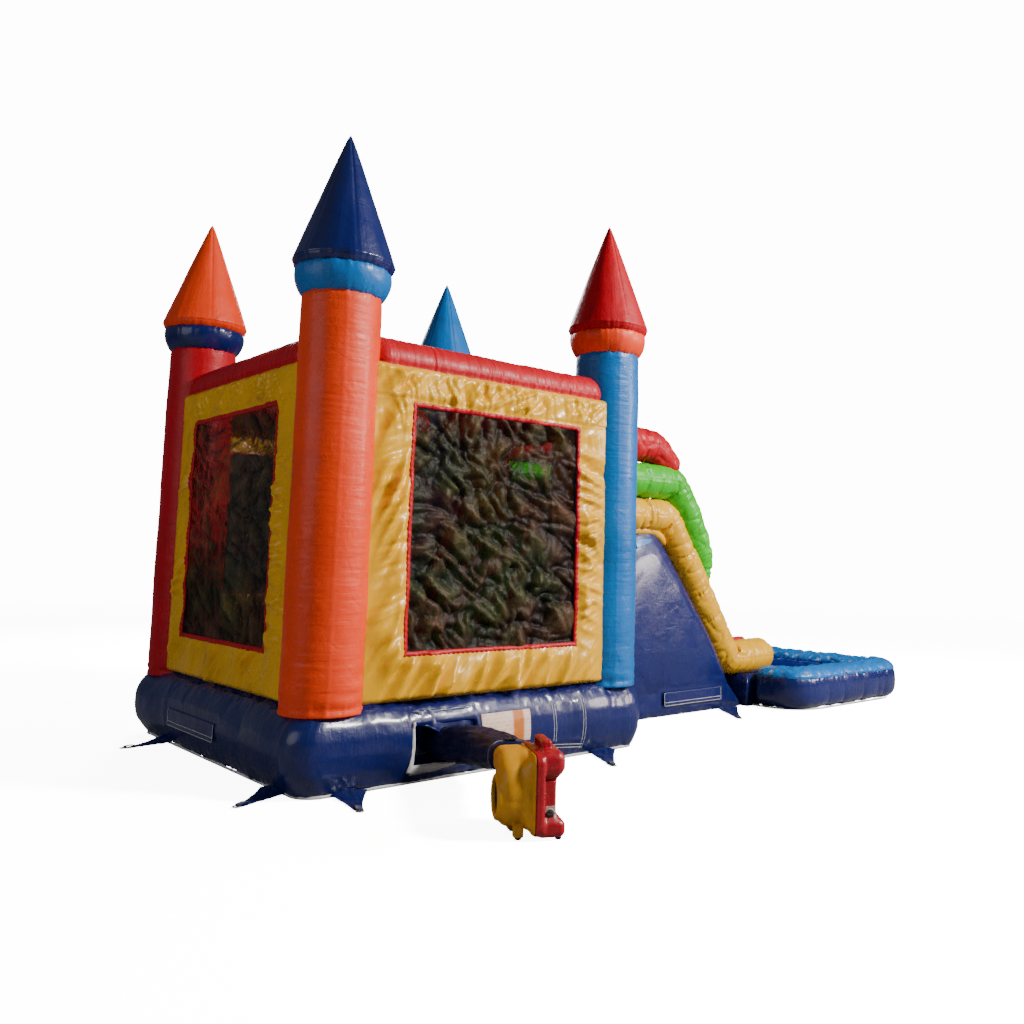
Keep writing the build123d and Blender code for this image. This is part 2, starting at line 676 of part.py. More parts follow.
def impeller():
    """Squirrel-cage wheel: back plate, hub, blades and front ring."""
    low = IMPELLER_LOW
    high = low + IMPELLER_W
    wheel = hub_rod(low, low + IMPELLER_PLATE_T, IMPELLER_R)
    wheel += hub_rod(low, low + IMPELLER_HUB_W, IMPELLER_HUB_R)
    ring = hub_rod(high - IMPELLER_PLATE_T, high, IMPELLER_R)
    wheel += ring - hub_rod(high - IMPELLER_PLATE_T - OVER, high + OVER, IMPELLER_RING_R)
    reach = (low + IMPELLER_PLATE_T - OVER, high - IMPELLER_PLATE_T + OVER)
    blade = block((BLADE_IN_R, IMPELLER_R - OVER), reach, (-BLADE_T / 2, BLADE_T / 2))
    for k in range(BLADES):
        wheel += Pos(0, 0, HUB_Z) * Rot(0, 360 * k / BLADES, 0) * blade
    return BLOWER * (wheel - hub_rod(low - OVER, low + IMPELLER_HUB_W + OVER, SHAFT_R))


def guard_ring(radius, width):
    return hub_rod(*GUARD_Y, radius) - hub_rod(GUARD_Y[0] - OVER, GUARD_Y[1] + OVER, radius - width)


def inlet_grille():
    """Wire guard in the inlet."""
    guard = guard_ring(INLET_R - HALF_GAP, GUARD_EDGE)
    for radius in GUARD_RINGS:
        guard += guard_ring(radius, GUARD_WIRE)
    reach = INLET_R - GUARD_WIRE / 2
    bar = block((-reach, reach), GUARD_Y, (-GUARD_WIRE / 2, GUARD_WIRE / 2))
    for turn in GUARD_TURNS:
        guard += Pos(0, 0, HUB_Z) * Rot(0, turn, 0) * bar
    return BLOWER * guard


def switch_knob():
    """Round on-off knob with a grip bar, facing away from the outlet."""
    seat = KNOB_SEAT - KNOB_GAP
    face = seat - KNOB_H / 2
    half = KNOB_R - KNOB_BAR_SHORT
    knob = rod((seat, KNOB_Y, KNOB_Z), (face, KNOB_Y, KNOB_Z), KNOB_R)
    knob += block((seat - KNOB_H, face + KNOB_H / 4), (KNOB_Y - half, KNOB_Y + half),
                  (KNOB_Z - KNOB_BAR_HALF, KNOB_Z + KNOB_BAR_HALF))
    return BLOWER * (knob + rod((seat, KNOB_Y, KNOB_Z), (seat + KNOB_STEM_IN, KNOB_Y, KNOB_Z), KNOB_STEM_R))


def blower_feet():
    pad = Cylinder(PAD_R, PAD_H, align=(Align.CENTER, Align.CENTER, Align.MIN))
    return BLOWER * Compound(children=[Pos(x, y, 0) * pad for x, y in PAD_AT])


def housing_screws():
    screws = []
    for x, z in screw_places():
        head = local_rod(x, z, -MOTOR_SIDE - SCREW_HEAD_H, -MOTOR_SIDE, 2 * SCREW_R)
        screws.append(head + local_rod(x, z, -MOTOR_SIDE, SCREW_IN, SCREW_R))
    return BLOWER * Compound(children=screws)


def sleeve_ends():
    """Outlet mouth and base end of the inflation sleeve's axis."""
    opening = Pos(DUCT_END + SLEEVE_MOUTH_GAP, (INLET_SIDE - MOTOR_SIDE) / 2, (DUCT_Z[0] + DUCT_Z[1]) / 2)
    start = (BLOWER * opening).position
    end = Vector(SLEEVE_AT_BASE[0], -BASE_HALF, SLEEVE_AT_BASE[1])
    return start, end


def inflation_sleeve():
    """Fabric duct from the blower's mouth to the base."""
    start, end = sleeve_ends()
    way = (end - start).normalized()
    first = Plane(origin=start + way * SLEEVE_START, z_dir=way) * Circle(SLEEVE_R[0])
    last = Plane(origin=end + way * SLEEVE_RUN_ON, z_dir=way) * Circle(SLEEVE_R[1])
    duct = loft([first, last])
    return duct - block((-BASE_HALF, BASE_HALF), (-BASE_HALF - SOFT_GAP, 0), (-BASE_H, 2 * BASE_H))


def sleeve_strap():
    """Strap that draws the sleeve's end onto the outlet."""
    start, end = sleeve_ends()
    way = (end - start).normalized()
    plane = Plane(origin=start + way * STRAP_AT, z_dir=way)
    return extrude(plane * (Circle(STRAP_R[1]) - Circle(STRAP_R[0])), STRAP_W)


# ---------------------------------------------------------------- all nodes

def main():
    os.makedirs("parts", exist_ok=True)
    save("base_ring", base_ring())
    save("bounce_floor", bounce_floor())
    turrets = {"orange": (-1, -1), "blue": (1, -1), "red": (-1, 1), "navy": (1, 1)}
    for colour, (x, y) in turrets.items():
        centre = (x * COLUMN_AXIS, y * COLUMN_AXIS)
        save(f"column_{colour}", column(*centre))
        save(f"cap_band_{colour}", cap_band(*centre))
        save(f"cone_{colour}", cone(*centre))

    window = ((-WINDOW_HALF, WINDOW_HALF), WINDOW_Z)
    small_window = ((-SMALL_WINDOW_X[1], -SMALL_WINDOW_X[0]), SMALL_WINDOW_Z)
    door = ((-DOOR_X[1], -DOOR_X[0]), (0, DOOR_TOP))
    slide_door = ((-SLIDE_DOOR_HALF, SLIDE_DOOR_HALF), (DECK_Z + SOFT_GAP, SLIDE_DOOR_TOP))
    sides = {"blower_side": (0, [window]), "rear": (-90, [window]),
             "entrance": (180, [small_window, door]), "slide_side": (90, [slide_door])}
    for name, (turn, holes) in sides.items():
        save(f"top_tube_{name}", top_tube(turn))
        save(f"wall_{name}", Rot(0, 0, turn) * side_sheet(holes))
    save("window_blower_side", mesh_window(*window))
    save("window_rear", Rot(0, 0, -90) * mesh_window(*window))
    save("window_entrance", Rot(0, 0, 180) * mesh_window(*small_window))
    save("entrance_step", entrance_step())

    save("slide_body", slide_body())
    save("slide_bed", slide_bed())
    for name, y in (("near", -RAIL_Y), ("far", RAIL_Y)):
        save(f"yellow_rail_{name}", yellow_rail(y))
        save(f"green_rail_{name}", green_rail(y))
        save(f"red_rail_{name}", red_rail(y))
    save("slide_end_bumpers", slide_end_bumpers())
    save("climbing_wall", climbing_wall())
    save("climbing_side_tubes", climbing_side_tubes())
    save("climbing_grips", climbing_grips())
    save("pool_wall", pool_band(0, POOL_WALL_H))
    save("pool_rim", pool_band(POOL_WALL_H + SOFT_GAP, POOL_RIM_TOP, POOL_RIM_INSET))
    save("pool_floor", pool_floor())

    save("ground_hem", ground_hem())
    save("anchor_tabs", anchor_tabs())
    save("anchor_eyelets", anchor_eyelets())
    save("zip_tapes", Compound(children=[zip_tape(True), zip_tape(False)]))
    for name, on_rear in (("rear", True), ("slide", False)):
        save(f"zip_slider_{name}", zip_slider(on_rear))
        save(f"zip_flap_{name}", zip_flap(on_rear))

    save("inflation_sleeve", inflation_sleeve())
    save("sleeve_strap", sleeve_strap())
    save("blower_inlet_housing", inlet_housing())
    save("blower_motor_housing", motor_housing())
    save("blower_motor", blower_motor())
    save("blower_shaft", motor_shaft())
    save("blower_impeller", impeller())
    save("blower_grille", inlet_grille())
    save("blower_switch", switch_knob())
    save("blower_feet", blower_feet())
    save("blower_screws", housing_screws())


main()
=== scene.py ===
from itertools import product
from math import cos, pi, radians, sin

import bmesh
import bpy
import numpy as np
from mathutils import Matrix, Vector
from mathutils.bvhtree import BVHTree


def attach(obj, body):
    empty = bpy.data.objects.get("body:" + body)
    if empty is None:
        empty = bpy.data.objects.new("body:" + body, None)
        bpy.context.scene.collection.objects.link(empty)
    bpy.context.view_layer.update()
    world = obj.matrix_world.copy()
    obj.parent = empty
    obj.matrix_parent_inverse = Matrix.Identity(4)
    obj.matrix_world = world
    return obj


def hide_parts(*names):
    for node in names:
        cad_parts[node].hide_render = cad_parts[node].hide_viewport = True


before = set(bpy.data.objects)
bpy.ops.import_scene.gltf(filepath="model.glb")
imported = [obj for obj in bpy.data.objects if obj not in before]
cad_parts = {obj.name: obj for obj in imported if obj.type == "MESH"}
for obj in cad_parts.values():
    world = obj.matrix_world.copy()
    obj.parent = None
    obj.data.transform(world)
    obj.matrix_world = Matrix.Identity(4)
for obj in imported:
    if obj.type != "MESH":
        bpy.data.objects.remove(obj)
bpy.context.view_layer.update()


# ------------------------------------------------------------------ materials


class Paint:
    """A material whose nodes are added one by one; .wire() takes sockets or constants."""

    def __init__(self, name):
        self.material = bpy.data.materials.new(name)
        self.material.use_nodes = True
        self.tree = self.material.node_tree
        self.tree.nodes.clear()
        self.out = self.wire("ShaderNodeOutputMaterial", {})
        self.place = self.wire("ShaderNodeTexCoord", {}).outputs["Object"]

    def wire(self, kind, sockets, **settings):
        node = self.tree.nodes.new(kind)
        for key, value in settings.items():
            setattr(node, key, value)
        for key, value in sockets.items():
            if isinstance(value, bpy.types.NodeSocket):
                self.tree.links.new(value, node.inputs[key])
            else:
                node.inputs[key].default_value = value
        return node

    def noise(self, vector, scale, detail=3.0, distortion=0.0, rough=0.5):
        sockets = {"Vector": vector, "Scale": scale, "Detail": detail, "Distortion": distortion,
                   "Roughness": rough}
        return self.wire("ShaderNodeTexNoise", sockets).outputs["Fac"]

    def stretched(self, vector, scale):
        return self.wire("ShaderNodeMapping", {"Vector": vector, "Scale": scale}).outputs["Vector"]

    def ramp(self, value, low, high, start=0.0, end=1.0):
        sockets = {"Value": value, "From Min": low, "From Max": high, "To Min": start, "To Max": end}
        return self.wire("ShaderNodeMapRange", sockets).outputs["Result"]

    def blend(self, share, first, second):
        node = self.wire("ShaderNodeMix", {"Factor": share}, data_type="RGBA")
        for key, value in (("A", first), ("B", second)):
            socket = [s for s in node.inputs if s.name == key and s.type == "RGBA"][0]
            if isinstance(value, bpy.types.NodeSocket):
                self.tree.links.new(value, socket)
            else:
                socket.default_value = (*value, 1)
        return [s for s in node.outputs if s.type == "RGBA"][0]

    def maths(self, operation, first, second):
        return self.wire("ShaderNodeMath", {0: first, 1: second}, operation=operation).outputs[0]

    def bump(self, height, distance, strength=1.0, under=None):
        sockets = {"Height": height, "Distance": distance, "Strength": strength}
        if under is not None:
            sockets["Normal"] = under
        return self.wire("ShaderNodeBump", sockets).outputs["Normal"]

    def principled(self, colour, rough, normal, more=()):
        sockets = {"Base Color": colour, "Roughness": rough, "Normal": normal, **dict(more)}
        return self.surface(self.wire("ShaderNodeBsdfPrincipled", sockets))

    def surface(self, shader):
        self.tree.links.new(shader.outputs[0], self.out.inputs["Surface"])
        return self.material


def shade(rgb, factor):
    return tuple(min(1.0, c * factor) for c in rgb)


def vinyl(name, rgb, rough=0.33, pleat=1.0, crumple=1.0, gloss=0.42, coat=0.08):
    """PVC-coated fabric: fine wrinkles along the grain, scrim weave, uneven sheen, dust near the ground."""
    p = Paint(name)
    grain = p.wire("ShaderNodeAttribute", {}, attribute_name="grain").outputs["Vector"]
    pleats = p.noise(p.stretched(grain, (3.5, 3.5, 42.0)), 1.0, 4.0, 0.5)
    soft = p.noise(p.place, 7.0, 5.0, 0.9, 0.55)
    weave = p.noise(p.place, 520.0, 1.0)
    normal = p.bump(pleats, 0.0028 * pleat)
    normal = p.bump(soft, 0.006 * crumple, 1.0, normal)
    normal = p.bump(weave, 0.0003, 0.6, normal)
    wear = p.noise(p.place, 2.1, 7.0, 0.3, 0.6)
    colour = p.blend(p.ramp(wear, 0.35, 0.7), shade(rgb, 0.86), shade(rgb, 1.08))
    height = p.wire("ShaderNodeSeparateXYZ", {"Vector": p.place}).outputs["Z"]
    patches = p.ramp(p.noise(p.place, 9.0, 6.0), 0.42, 0.65)
    dust = p.maths("MULTIPLY", p.ramp(height, 0.16, 0.0, 0.0, 0.16), patches)
    colour = p.blend(dust, colour, (0.12, 0.11, 0.10))
    sheen = p.ramp(p.noise(p.place, 5.0, 4.0), 0.3, 0.7, rough - 0.05, rough + 0.11)
    more = {"Specular IOR Level": gloss, "Coat Weight": coat, "Coat Roughness": 0.14}
    return p.principled(colour, sheen, normal, more)


def netting(name):
    """Fine near-black safety net: crossed threads with open cells, painted a lighter tan on the crests of its
    folds (painted highlight) and darker in their hollows (painted shade).
    """
    p = Paint(name)
    grain = p.wire("ShaderNodeAttribute", {}, attribute_name="grain").outputs["Vector"]
    bands = [p.wire("ShaderNodeTexWave", {"Vector": grain, "Scale": 105.0}, bands_direction=d).outputs["Fac"]
             for d in ("X", "Y")]
    thread = p.maths("GREATER_THAN", p.maths("MAXIMUM", *bands), 0.58)
    # Painted light: the grain's third value is the fold height; it picks a shaded copy of the thread colour
    # for the hollows (painted shade) and a lit tan copy for the crests (painted highlight).
    crest = p.wire("ShaderNodeSeparateXYZ", {"Vector": grain}).outputs["Z"]
    faded = p.ramp(p.noise(p.place, 2.3, 3.0, 0.6), 0.42, 0.60)
    valley_shade = p.blend(faded, (0.012, 0.003, 0.003), (0.004, 0.009, 0.002))
    # pale: the lit tan copy of the thread colour, a painted highlight on the crests of the folds.
    pale = p.blend(faded, (0.115, 0.058, 0.028), (0.078, 0.082, 0.026))
    colour = p.blend(p.ramp(crest, 0.35, 0.95), valley_shade, pale)
    normal = p.bump(p.noise(p.place, 14.0, 5.0, 1.2), 0.012)
    cloth = p.wire("ShaderNodeBsdfPrincipled", {"Base Color": colour, "Roughness": 0.50, "Normal": normal,
                                                "Specular IOR Level": 0.24})
    clear = p.wire("ShaderNodeBsdfTransparent", {})
    return p.surface(p.wire("ShaderNodeMixShader", {0: thread, 1: clear.outputs[0], 2: cloth.outputs[0]}))


def webbing(name, rgb):
    """Woven strap with a visible diagonal rib."""
    p = Paint(name)
    rib = p.wire("ShaderNodeTexWave", {"Vector": p.place, "Scale": 60.0, "Distortion": 1.5},
                 bands_direction="DIAGONAL").outputs["Fac"]
    colour = p.blend(rib, shade(rgb, 0.7), shade(rgb, 1.5))
    normal = p.bump(rib, 0.001)
    return p.principled(colour, 0.75, normal, {"Sheen Weight": 0.3})


def moulding(name, rgb, rough=0.45, grain=900.0):
    """Moulded plastic: orange-peel skin, scuffs and a little dirt."""
    p = Paint(name)
    peel = p.noise(p.place, grain, 2.0)
    waves = p.noise(p.place, 16.0, 4.0)
    normal = p.bump(peel, 0.0004, 0.5, p.bump(waves, 0.003))
    scuff = p.ramp(p.noise(p.stretched(p.place, (8.0, 30.0, 60.0)), 2.0, 8.0), 0.58, 0.72)
    colour = p.blend(p.ramp(p.noise(p.place, 7.0, 6.0), 0.3, 0.7), shade(rgb, 0.82), shade(rgb, 1.1))
    colour = p.blend(p.maths("MULTIPLY", scuff, 0.12), colour, (0.30, 0.28, 0.24))
    shine = p.ramp(p.noise(p.place, 22.0, 3.0), 0.3, 0.7, rough - 0.08, rough + 0.12)
    return p.principled(colour, shine, normal)


def metal(name, rgb, rough=0.35, metallic=1.0):
    """Plated or painted metal with brushing and dull spots."""
    p = Paint(name)
    brushed = p.noise(p.stretched(p.place, (40.0, 40.0, 900.0)), 1.0, 3.0)
    spots = p.noise(p.place, 60.0, 5.0)
    colour = p.blend(p.ramp(spots, 0.4, 0.7), shade(rgb, 0.7), rgb)
    shine = p.ramp(spots, 0.3, 0.7, rough - 0.08, rough + 0.2)
    return p.principled(colour, shine, p.bump(brushed, 0.0003), {"Metallic": metallic})


def labels(name):
    """Blank weathered patch: pale printed fabric with faint blocks of colour and no lettering."""
    p = Paint(name)
    grain = p.wire("ShaderNodeAttribute", {}, attribute_name="grain").outputs["Vector"]
    blocks = p.wire("ShaderNodeTexBrick", {"Vector": grain, "Scale": 9.0, "Mortar Size": 0.03,
                                           "Color1": (0.80, 0.45, 0.32, 1), "Color2": (0.84, 0.62, 0.46, 1),
                                           "Mortar": (0.86, 0.74, 0.64, 1)}).outputs["Color"]
    side = p.wire("ShaderNodeSeparateXYZ", {"Vector": grain}).outputs["X"]
    spot = p.maths("MULTIPLY", p.ramp(side, 0.27, 0.29), p.ramp(side, 0.39, 0.37))
    worn = p.ramp(p.noise(p.place, 30.0, 5.0), 0.45, 0.7, 0.0, 0.35)
    colour = p.blend(worn, blocks, (0.84, 0.78, 0.72))
    colour = p.blend(p.maths("MULTIPLY", spot, 0.96), colour, (0.60, 0.150, 0.000))
    normal = p.bump(p.noise(p.place, 18.0, 4.0), 0.006)
    return p.principled(colour, 0.45, normal)


PAINTS = {
    "vinyl_navy": vinyl("vinyl_navy", (0.002, 0.009, 0.115), 0.32, 1.0, 1.0, 0.42, 0.45),
    "vinyl_royal": vinyl("vinyl_royal", (0.001, 0.050, 0.40), 0.36),
    "vinyl_sky": vinyl("vinyl_sky", (0.001, 0.150, 0.50), 0.38),
    "vinyl_orange": vinyl("vinyl_orange", (0.95, 0.052, 0.000), 0.42),
    "vinyl_red": vinyl("vinyl_red", (0.52, 0.001, 0.012), 0.42, 0.7, 1.0, 0.26, 0.03),
    "vinyl_yellow": vinyl("vinyl_yellow", (0.86, 0.445, 0.000), 0.29, 0.6, 0.7, 0.36, 0.15),
    "vinyl_green": vinyl("vinyl_green", (0.035, 0.50, 0.004), 0.36),
    "vinyl_grey": vinyl("vinyl_grey", (0.72, 0.71, 0.72), 0.45),
    "mesh_black": netting("mesh_black"),
    "webbing_navy": webbing("webbing_navy", (0.012, 0.02, 0.09)),
    "housing_yellow": moulding("housing_yellow", (0.74, 0.33, 0.001), 0.42),
    "housing_red": moulding("housing_red", (0.40, 0.002, 0.012), 0.34),
    "plastic_black": moulding("plastic_black", (0.02, 0.02, 0.022), 0.45),
    "steel_zinc": metal("steel_zinc", (0.60, 0.60, 0.62)),
    "motor_grey": metal("motor_grey", (0.13, 0.13, 0.14), 0.5, 0.2),
    "rubber_black": moulding("rubber_black", (0.018, 0.018, 0.018), 0.8, 300.0),
}
SLEEVE = vinyl("sleeve_navy", (0.001, 0.004, 0.045), 0.5, 0.4, 1.0, 0.2, 0.0)
THREAD = webbing("thread_white", (0.45, 0.45, 0.47))
LABEL = labels("label_blank")
PLATE = moulding("switch_plate", (0.55, 0.42, 0.34), 0.5)


# ------------------------------------------------------------------ shapes

UP = np.array([0, 0, 1.0])
ACROSS = (0, 1.0, 0)
AHEAD = (1.0, 0, 0)
IN_FRONT = -2.4  # Y of the rays that find the base's near skin
NEVER = (False, False)
BOTH = (True, True)


def noise(points, seed=0):
    """Smooth gradient noise, about -1 to 1; the last axis of points is x, y, z."""
    rng = np.random.default_rng(seed)
    order = np.tile(rng.permutation(256), 2)
    slopes = rng.normal(size=(256, 3))
    slopes /= np.linalg.norm(slopes, axis=1)[:, None]
    cell = np.floor(points).astype(int)
    part = points - cell
    ease = part**3 * (part * (part * 6 - 15) + 10)
    total = np.zeros(points.shape[:-1])
    for corner in product((0, 1), repeat=3):
        at = (cell + corner) & 255
        key = order[order[order[at[..., 0]] + at[..., 1]] + at[..., 2]]
        weight = np.prod(np.where(corner, ease, 1 - ease), axis=-1)
        total += weight * np.sum(slopes[key] * (part - corner), axis=-1)
    return total * 1.6


def creases(points, seed, octaves=3):
    """Crumpled height, about 0 to 1: soft swells that meet in sharp creases."""
    bent = points + 0.45 * np.stack([noise(points * 0.9, seed + k) for k in (50, 51, 52)], -1)
    height, size, whole = 0.0, 1.0, 0.0
    for k in range(octaves):
        height = height + size * np.abs(noise(bent * 1.9**k, seed + k))
        whole += size
        size *= 0.55
    return height / whole


def ridges(points, seed):
    """Sharp thin pleats between flat stretches, 0 to 1."""
    return clamp(1 - 3.2 * np.abs(noise(points, seed))) ** 2


def xyz(x, y, z):
    """Coordinates side by side on a last axis."""
    return np.stack(np.broadcast_arrays(x, y, z), -1)


def clamp(value):
    return np.clip(value, 0, 1)


def unit(v):
    return v / np.maximum(np.linalg.norm(v, axis=-1, keepdims=True), 1e-9)


def slope(values, axis, closed):
    if closed:
        return (np.roll(values, -1, axis) - np.roll(values, 1, axis)) / 2
    return np.gradient(values, axis=axis)


def puffed(points, height, closed=(False, True), outward=None):
    """Moves a grid's points along its normals by height."""
    normal = unit(np.cross(slope(points, 0, closed[0]), slope(points, 1, closed[1])))
    guide = points - points.mean(1, keepdims=True) if outward is None else np.array(outward)
    if np.sum(normal * guide) < 0:
        normal = -normal
    return points + normal * np.asarray(height)[..., None]


def quads(rows, columns, close_rows, close_columns):
    i = np.arange(rows if close_rows else rows - 1)
    j = np.arange(columns if close_columns else columns - 1)
    a, b = np.meshgrid(i, j, indexing="ij")
    c, d = (a + 1) % rows, (b + 1) % columns
    return np.stack([a * columns + b, c * columns + b, c * columns + d, a * columns + d], -1).reshape(-1, 4)


def add(name, points, faces, slot, grain=None, body="root", stands_for=(), paint=None):
    """A mesh piece in the row frame that rides a CAD body."""
    points = np.asarray(points, float).reshape(-1, 3)
    mesh = bpy.data.meshes.new(name)
    mesh.from_pydata(points.tolist(), [], [list(map(int, f)) for f in faces])
    work = bmesh.new()
    work.from_mesh(mesh)
    bmesh.ops.recalc_face_normals(work, faces=work.faces)
    work.to_mesh(mesh)
    work.free()
    mesh.polygons.foreach_set("use_smooth", [True] * len(mesh.polygons))
    layer = mesh.attributes.new("grain", "FLOAT_VECTOR", "POINT")
    layer.data.foreach_set("vector", (points if grain is None else grain).astype(np.float32).ravel())
    mesh.materials.append(paint or PAINTS[slot])
    obj = bpy.data.objects.new(name, mesh)
    bpy.context.scene.collection.objects.link(obj)
    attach(obj, body)
    if stands_for:
        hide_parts(*stands_for)
    return obj


def add_grid(name, points, slot, closed=(False, True), caps=True, grain=None, hole=None, **more):
    """A grid piece; open rows are capped if the columns close."""
    rows, columns = points.shape[:2]
    faces = quads(rows, columns, *closed)
    if hole is not None:
        faces = faces[~hole.reshape(-1)[faces].all(1)]
    faces = faces.tolist()
    if caps and closed[1] and not closed[0]:
        faces += [list(range(columns)), list(range((rows - 1) * columns, rows * columns))]
    return add(name, points, faces, slot, None if grain is None else grain.reshape(-1, 3), **more)


def add_grids(name, grids, slot, **more):
    """One piece of several grids, each given with the ways it closes."""
    points, faces, start = [], [], 0
    for grid, closed in grids:
        faces += (quads(*grid.shape[:2], *closed) + start).tolist()
        points.append(grid.reshape(-1, 3))
        start += len(points[-1])
    return add(name, np.concatenate(points), faces, slot, **more)


def thick(obj, thickness):
    """Gives a thin sheet its real thickness, and drops vertices no face uses."""
    work = bmesh.new()
    work.from_mesh(obj.data)
    bmesh.ops.delete(work, geom=[v for v in work.verts if not v.link_faces], context="VERTS")
    work.to_mesh(obj.data)
    work.free()
    shell = obj.modifiers.new("thickness", "SOLIDIFY")
    shell.thickness = thickness
    shell.offset = 0
    return obj


def resample(points, step):
    """Polyline at an even step."""
    points = np.asarray(points, float)
    run = np.concatenate([[0], np.cumsum(np.linalg.norm(np.diff(points, axis=0), axis=1))])
    count = max(3, int(round(run[-1] / step)) + 1)
    at = np.linspace(0, run[-1], count)
    return np.stack([np.interp(at, run, points[:, k]) for k in range(points.shape[1])], -1)


def rounded(points, step, reach):
    """Polyline at an even step, its corners rounded over about reach metres."""
    line = resample(points, step)
    passes = int((reach / step) ** 2 / 4)
    for _ in range(passes):
        line[1:-1] = (line[:-2] + 2 * line[1:-1] + line[2:]) / 4
    return resample(line, step)


def along(line):
    return np.concatenate([[0], np.cumsum(np.linalg.norm(np.diff(line, axis=0), axis=1))])


def tube(line, radius, around, side, start_dome=0.0, end_dome=0.0):
    """Points and grain of a tube round a line; side is any vector across it."""
    run = along(line)
    length = run[-1]
    radius = np.broadcast_to(radius, run.shape).astype(float).copy()
    for dome, way in ((start_dome, run), (end_dome, length - run)):
        if dome:
            radius *= np.sqrt(np.clip(1 - clamp(1 - way / dome) ** 2, 0.0004, 1))
    ahead = unit(np.gradient(line, axis=0))
    first = unit(np.broadcast_to(side, line.shape) - ahead * np.sum(ahead * side, -1, keepdims=True))
    second = np.cross(ahead, first)
    angle = np.linspace(0, 2 * pi, around, endpoint=False)
    ring = radius[:, None, None] * (np.cos(angle)[None, :, None] * first[:, None] +
                                    np.sin(angle)[None, :, None] * second[:, None])
    full = radius.max()
    grain = xyz(full * np.cos(angle)[None], full * np.sin(angle)[None], run[:, None])
    return line[:, None] + ring, grain, run, angle


def domed_steps(low, high, step, dome):
    """Even positions from low to high, with closer ones where a dome closes."""
    share = 1 - np.cos(np.linspace(0, pi / 2, 12))
    ends = np.concatenate([low + dome * share, high - dome * share])
    return np.unique(np.round(np.concatenate([ends, np.arange(low + dome, high - dome, step)]), 5))


def pinch(distance, pleat, depth, reach):
    """Skin drawn in at a seam and pleated beside it."""
    fade = np.exp(-np.abs(distance) / reach)
    return -depth * fade**2 + 0.8 * depth * (pleat - 0.3) * fade


def turned(points, degrees):
    """Points turned about the house's middle."""
    c, s = cos(radians(degrees)), sin(radians(degrees))
    return points @ np.array([[c, s, 0], [-s, c, 0], [0, 0, 1]])


def band(mask_at, width):
    """1 at zero, falling smoothly to 0 at width."""
    return clamp(1 - (mask_at / width) ** 2) ** 2


# ------------------------------------------------------------------ house base and floor


def plan_ring(half_x, half_y, radius, step, centre_x=0.0):
    """Closed rounded-rectangle path in plan, with its outward directions."""
    corners = ((1, -1), (1, 1), (-1, 1), (-1, -1))
    middles = [np.array([centre_x + sx * (half_x - radius), sy * (half_y - radius), 0]) for sx, sy in corners]
    points, ways = [], []
    for k, middle in enumerate(middles):
        count = max(6, int(radius * pi / 2 / step))
        for a in np.linspace(-pi / 2, 0, count, endpoint=False) + k * pi / 2:
            way = np.array([cos(a), sin(a), 0])
            points.append(middle + radius * way)
            ways.append(way)
        last, way = points[-1], np.array([cos(k * pi / 2), sin(k * pi / 2), 0])
        following = middles[(k + 1) % 4] + radius * way
        count = max(2, int(np.linalg.norm(following - last) / step))
        for t in np.linspace(0, 1, count, endpoint=False)[1:]:
            points.append(last + t * (following - last))
            ways.append(way)
    return np.array(points), np.array(ways)


def swept(path, ways, section):
    """Section of (outward, up) points carried along a path."""
    return path[:, None] + ways[:, None] * section[None, :, :1] + UP * section[None, :, 1:2]


def box_mask(value, limits, soft):
    """1 between the limits, falling smoothly to 0 over soft outside them."""
    share = clamp(1 - np.maximum(limits[0] - value, value - limits[1]) / soft)
    return share * share * (3 - 2 * share)


BASE_HALF = 1.52
BASE_CORNER = 0.20
BASE_SECTION = [(-0.30, 0.004), (-0.075, 0.004), (-0.050, 0.03), (0.0, 0.14), (0.016, 0.25), (0.010, 0.35),
                (-0.014, 0.43), (-0.055, 0.495), (-0.115, 0.535), (-0.20, 0.552), (-0.33, 0.54),
                (-0.36, 0.50), (-0.36, 0.03), (-0.30, 0.004)]
PORT = (-0.70, -0.24, 0.10, 0.38)  # inflation port: low and high X, low and high Z
REAR_ZIP = ((-0.26, 0.73), (0.14, 0.33))


